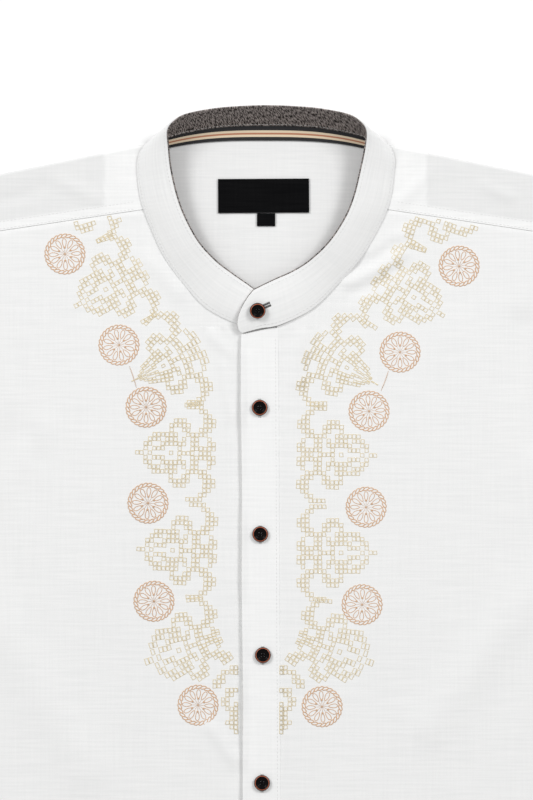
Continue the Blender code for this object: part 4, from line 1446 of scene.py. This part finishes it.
def upright_squares(side, chart, top):
    """Corners of the marked squares of a chart that stands beside the placket."""
    cells = marked(chart, range(len(chart)), range(len(chart[0])))
    centres = np.column_stack([TAIL_X + side * (TAIL_OUT + cells[:, 0] * PITCH_OUT),
                               top - cells[:, 1] * PITCH_DOWN])
    return centres[:, None] + (SQUARE * SQUARE_HALF * [PITCH_OUT, PITCH_DOWN])[None]


def border_squares(side):
    """Paths of all squares of one front's border that show on it."""
    squares = [repeat_squares(repeat) for repeat in REPEATS if repeat.side == side]
    squares += [upright_squares(side, TAIL_CHART, TAIL_TOP),
                upright_squares(side, LINK_CHART, LINK_TOP)]
    flat = np.vstack(squares)
    x, y = flat[:, :, 0], flat[:, :, 1]
    below = (y < yoke_seam(x) - UNDER_YOKE).all(axis=1)
    beside = (side * (x - centre_front(y)) > PLACKET_HALF - UNDER_PLACKET).all(axis=1)
    shown = below & beside
    x, y = x[shown], y[shown]
    x = x + rng.normal(0.0, UNEVEN, x.shape)
    y = y + rng.normal(0.0, UNEVEN, y.shape)
    return on_front(x, y, SQUARE_STRAND.lift)


for side, word in SIDES:
    squares = sweep(border_squares(side), SQUARE_STRAND)
    thread_piece(f"leaf_border_{word}", [squares], ECRU)

# %% [markdown]
# ## Stitching
# The edges are held by rows of short white stitches. A row is given by the line it follows, and
# each stitch is a short raised length of thread that ends in the cloth.

# %% Rows of stitches
STITCH = 2.0
STITCH_GAP = 0.75
STITCH_STRAND = Strand(0.34, 0.26, 0.0, 4, False)
STITCH_SUNK = 0.16
STITCH_PROUD = 0.05
PLACKET_STITCH = 11.4
CUFF_INSET = 3.0
CUFF_END_IN = 2.0
YOKE_LINE_X = (94.0, 226.0)
HEM_LINE_X = 278.0
ARMHOLE_IN = 6.0
YOKE_ABOVE = (1.2, 6.4)
HEM_ABOVE = 5.0
BAND_STITCH_LIFT = 0.62 + SHELL / 2
BAND_INSIDE = slice(60, 156)
BAND_OUTSIDE = slice(6, -4)
BAND_ROWS = (1, COLLAR_ROWS - 1)


def stitch_row(line):
    """Stitches along a line of (x, y, z) points, in millimetres."""
    line = np.array(line, float)
    run = np.concatenate([[0], np.cumsum(np.linalg.norm(np.diff(line, axis=0), axis=1))])
    count = int((run[-1] - STITCH) / (STITCH + STITCH_GAP))
    starts = np.arange(count) * (STITCH + STITCH_GAP) + STITCH_GAP
    at = starts[:, None] + STITCH * np.array([0.0, 0.2, 0.8, 1.0])
    paths = np.stack([np.interp(at, run, line[:, k]) for k in range(3)], axis=-1)
    paths[:, [0, 3], 2] -= STITCH_SUNK
    paths[:, 1:3, 2] += STITCH_PROUD
    return sweep(paths, STITCH_STRAND)


def placket_top(x, y):
    return upper_z(x, y) + LAYER + LINED_SHELL / 2


def placket_line(across):
    y = np.linspace(BELOW_BAND_Y, HEM_Y + 1.0, 240)
    x = centre_front(y) + across
    return np.column_stack([x, y, placket_top(x, y)])


def yoke_line(side, above):
    x = np.linspace(*YOKE_LINE_X, 60)
    y = yoke_seam(x) + above
    return np.column_stack([side * x, y, upper_z(side * x, y) + SHELL / 2])


def hem_line(above):
    x = np.linspace(-HEM_LINE_X, HEM_LINE_X, 200)
    y = hem(x) + above
    gap = np.abs(x - centre_front(y)) < PLACKET_HALF
    points = on_front(x, y, 0.0)
    points[gap, 2] = placket_top(x, y)[gap]
    return points


def armhole_line(side, inside):
    curve = set_off(ARMHOLE_CURVE, -inside)[2:-3]
    x = side * curve[:, 0]
    return np.column_stack([x, curve[:, 1], upper_z(x, curve[:, 1]) + SHELL / 2])


def cuff_line(side, along, across):
    """A line on the top of a cuff, between two places along it and across it."""
    start = cuff_corner() + AXIS * along[0] + ACROSS * across[0]
    end = cuff_corner() + AXIS * along[1] + ACROSS * across[1]
    plan = start + (end - start) * np.linspace(0, 1, 30)[:, None]
    z = np.full(30, FOLD_Z + FOLD_R + LINED_SHELL / 2)
    return np.column_stack([side * plan[:, 0], plan[:, 1], z])


def band_line(row, leaf, columns):
    """A line along one leaf of the band, outer 1 or inner -1, at a row of its grid."""
    points, normal = collar_grid(COLLAR_ROWS)
    return (points + normal * leaf * BAND_STITCH_LIFT)[columns, row]


CUFF_LINES = [((at, at), (CUFF_END_IN, CUFF_WIDTH - CUFF_END_IN))
              for at in (CUFF_INSET, CUFF_LENGTH - CUFF_INSET)]
rows = [stitch_row(placket_line(across)) for across in (-PLACKET_STITCH, PLACKET_STITCH)]
rows += [stitch_row(cuff_line(side, *line)) for side in (-1, 1) for line in CUFF_LINES]
rows += [stitch_row(yoke_line(side, above)) for side in (-1, 1) for above in YOKE_ABOVE]
rows += [stitch_row(armhole_line(side, ARMHOLE_IN)) for side in (-1, 1)]
rows += [stitch_row(hem_line(HEM_ABOVE)), stitch_row(band_line(1, -1, BAND_INSIDE))]
rows += [stitch_row(band_line(row, 1, BAND_OUTSIDE)) for row in BAND_ROWS]
thread_piece("topstitching", rows, WHITE_THREAD)

# %% [markdown]
# ## Buttonholes
# Each buttonhole is a slit whose edges are bound by short stitches set close together. On the
# placket they run down it and are almost hidden by their buttons. The one on the collar's tab
# runs across, in black thread, and shows beside its button.

# %% Buttonholes
HOLE_STEP = 0.5
HOLE_GAP = 0.12
HOLE_RISE = (0.05, 0.2, 0.05)
HOLE_STRAND = Strand(0.55, 0.40, 0.0, 4, False)
HOLE_HALF = 1.15
COLLAR_HOLE_HALF = 1.9
COLLAR_HOLE_AT = (-1.9, -118.2)
COLLAR_HOLE_TURN = 0.42
HOLE_LENGTH = 14.0
COLLAR_HOLE_LENGTH = 12.5
NEAR_COLUMNS = 30
NEAREST = 0.05


def buttonhole(centre, turn, length, height, half):
    """Stitches along both edges of a slit. height(x, y) is the cloth's surface."""
    at = np.arange(int(length / HOLE_STEP)) * HOLE_STEP - length / 2
    along = np.array([math.cos(turn), math.sin(turn)])
    beside = np.array([-math.sin(turn), math.cos(turn)])
    out = np.array([HOLE_GAP, 0.5 * (HOLE_GAP + half), half])
    flat = np.concatenate([
        np.array(centre) + at[:, None, None] * along + side * out[None, :, None] * beside
        for side in (-1, 1)])
    z = height(flat[..., 0], flat[..., 1]) + HOLE_RISE
    return sweep(np.concatenate([flat, z[..., None]], axis=-1), HOLE_STRAND)


def band_top(x, y):
    """Surface of the outer leaf near the tab, from its nearest grid points."""
    points, normal = collar_grid(COLLAR_ROWS)
    face = points + normal * (LEAF_EDGE_APART + LEAF_PART + SHELL / 2)
    near = face[-NEAR_COLUMNS:].reshape(-1, 3)
    away = np.hypot(x[..., None] - near[:, 0], y[..., None] - near[:, 1])
    weight = 1 / (away + NEAREST) ** 4
    return (weight * near[:, 2]).sum(axis=-1) / weight.sum(axis=-1)


button_places = [np.array(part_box(node)).mean(axis=0) / MM - [0.0, DRAFT_Y / MM, 0.0]
                 for node in PLACKET_BUTTONS]
thread_piece("placket_buttonholes",
             [buttonhole(centre[:2], math.pi / 2, HOLE_LENGTH, placket_top, HOLE_HALF)
              for centre in button_places], WHITE_THREAD)
collar_hole = buttonhole(COLLAR_HOLE_AT, COLLAR_HOLE_TURN, COLLAR_HOLE_LENGTH, band_top,
                         COLLAR_HOLE_HALF)
thread_piece("collar_buttonhole", [collar_hole], BLACK_THREAD)

# %% [markdown]
# ## Light, floor and camera
# The shirt was photographed from straight above in flat, soft light. Two equal wide lamps, from
# the upper left and the upper right, and a bright sky give that. Each lamp leaves a soft shadow
# inside the band on its own side.

# %% Floor
deselect()
bpy.ops.mesh.primitive_plane_add(size=30.0, location=(0, 0, -0.0002))
floor = bpy.context.object
floor.name = "floor"
floor.data.materials.append(
    new_material("pale floor", colour=(0.99, 0.99, 0.99, 1.0), roughness=0.9, specular=0.1)[0])

# %% Lamps and sky
LAMP_AT = (2.4, 2.0, 3.0)
LAMP_AIM = (0.0, 0.1, 0.0)
LAMP_SIZE = 1.3
LAMP_POWER = 70.5
SKY_STRENGTH = 0.455
for side in (-1, 1):
    light = bpy.data.lights.new(f"lamp {side}", "AREA")
    light.shape = "SQUARE"
    light.size = LAMP_SIZE
    light.energy = LAMP_POWER
    lamp = bpy.data.objects.new(f"lamp {side}", light)
    bpy.context.collection.objects.link(lamp)
    lamp.location = (side * LAMP_AT[0], LAMP_AT[1], LAMP_AT[2])
    way = np.array(LAMP_AIM) - np.array(lamp.location)
    lamp.rotation_euler = (math.atan2(math.hypot(way[0], way[1]), -way[2]), 0.0,
                           math.atan2(-way[0], way[1]))
world = bpy.data.worlds.new("soft sky")
world.use_nodes = True
world.node_tree.nodes["Background"].inputs["Color"].default_value = (1.0, 1.0, 1.0, 1.0)
world.node_tree.nodes["Background"].inputs["Strength"].default_value = SKY_STRENGTH
bpy.context.scene.world = world
bpy.context.scene.view_settings.view_transform = "Standard"

# %% Camera straight above
VIEW_CENTRE = (0.7, -185.0)
VIEW_HEIGHT = 576.0
CAMERA_UP = 12.0
SENSOR = 36.0
camera = bpy.data.cameras.new("camera")
camera.sensor_fit = "VERTICAL"
camera.sensor_height = SENSOR
camera.lens = SENSOR * CAMERA_UP / (VIEW_HEIGHT * MM)
camera.clip_end = 50.0
eye = bpy.data.objects.new("camera", camera)
bpy.context.collection.objects.link(eye)
eye.location = (VIEW_CENTRE[0] * MM, VIEW_CENTRE[1] * MM + DRAFT_Y, CAMERA_UP)
bpy.context.scene.camera = eye
print("camera lens", round(camera.lens, 1), "mm")
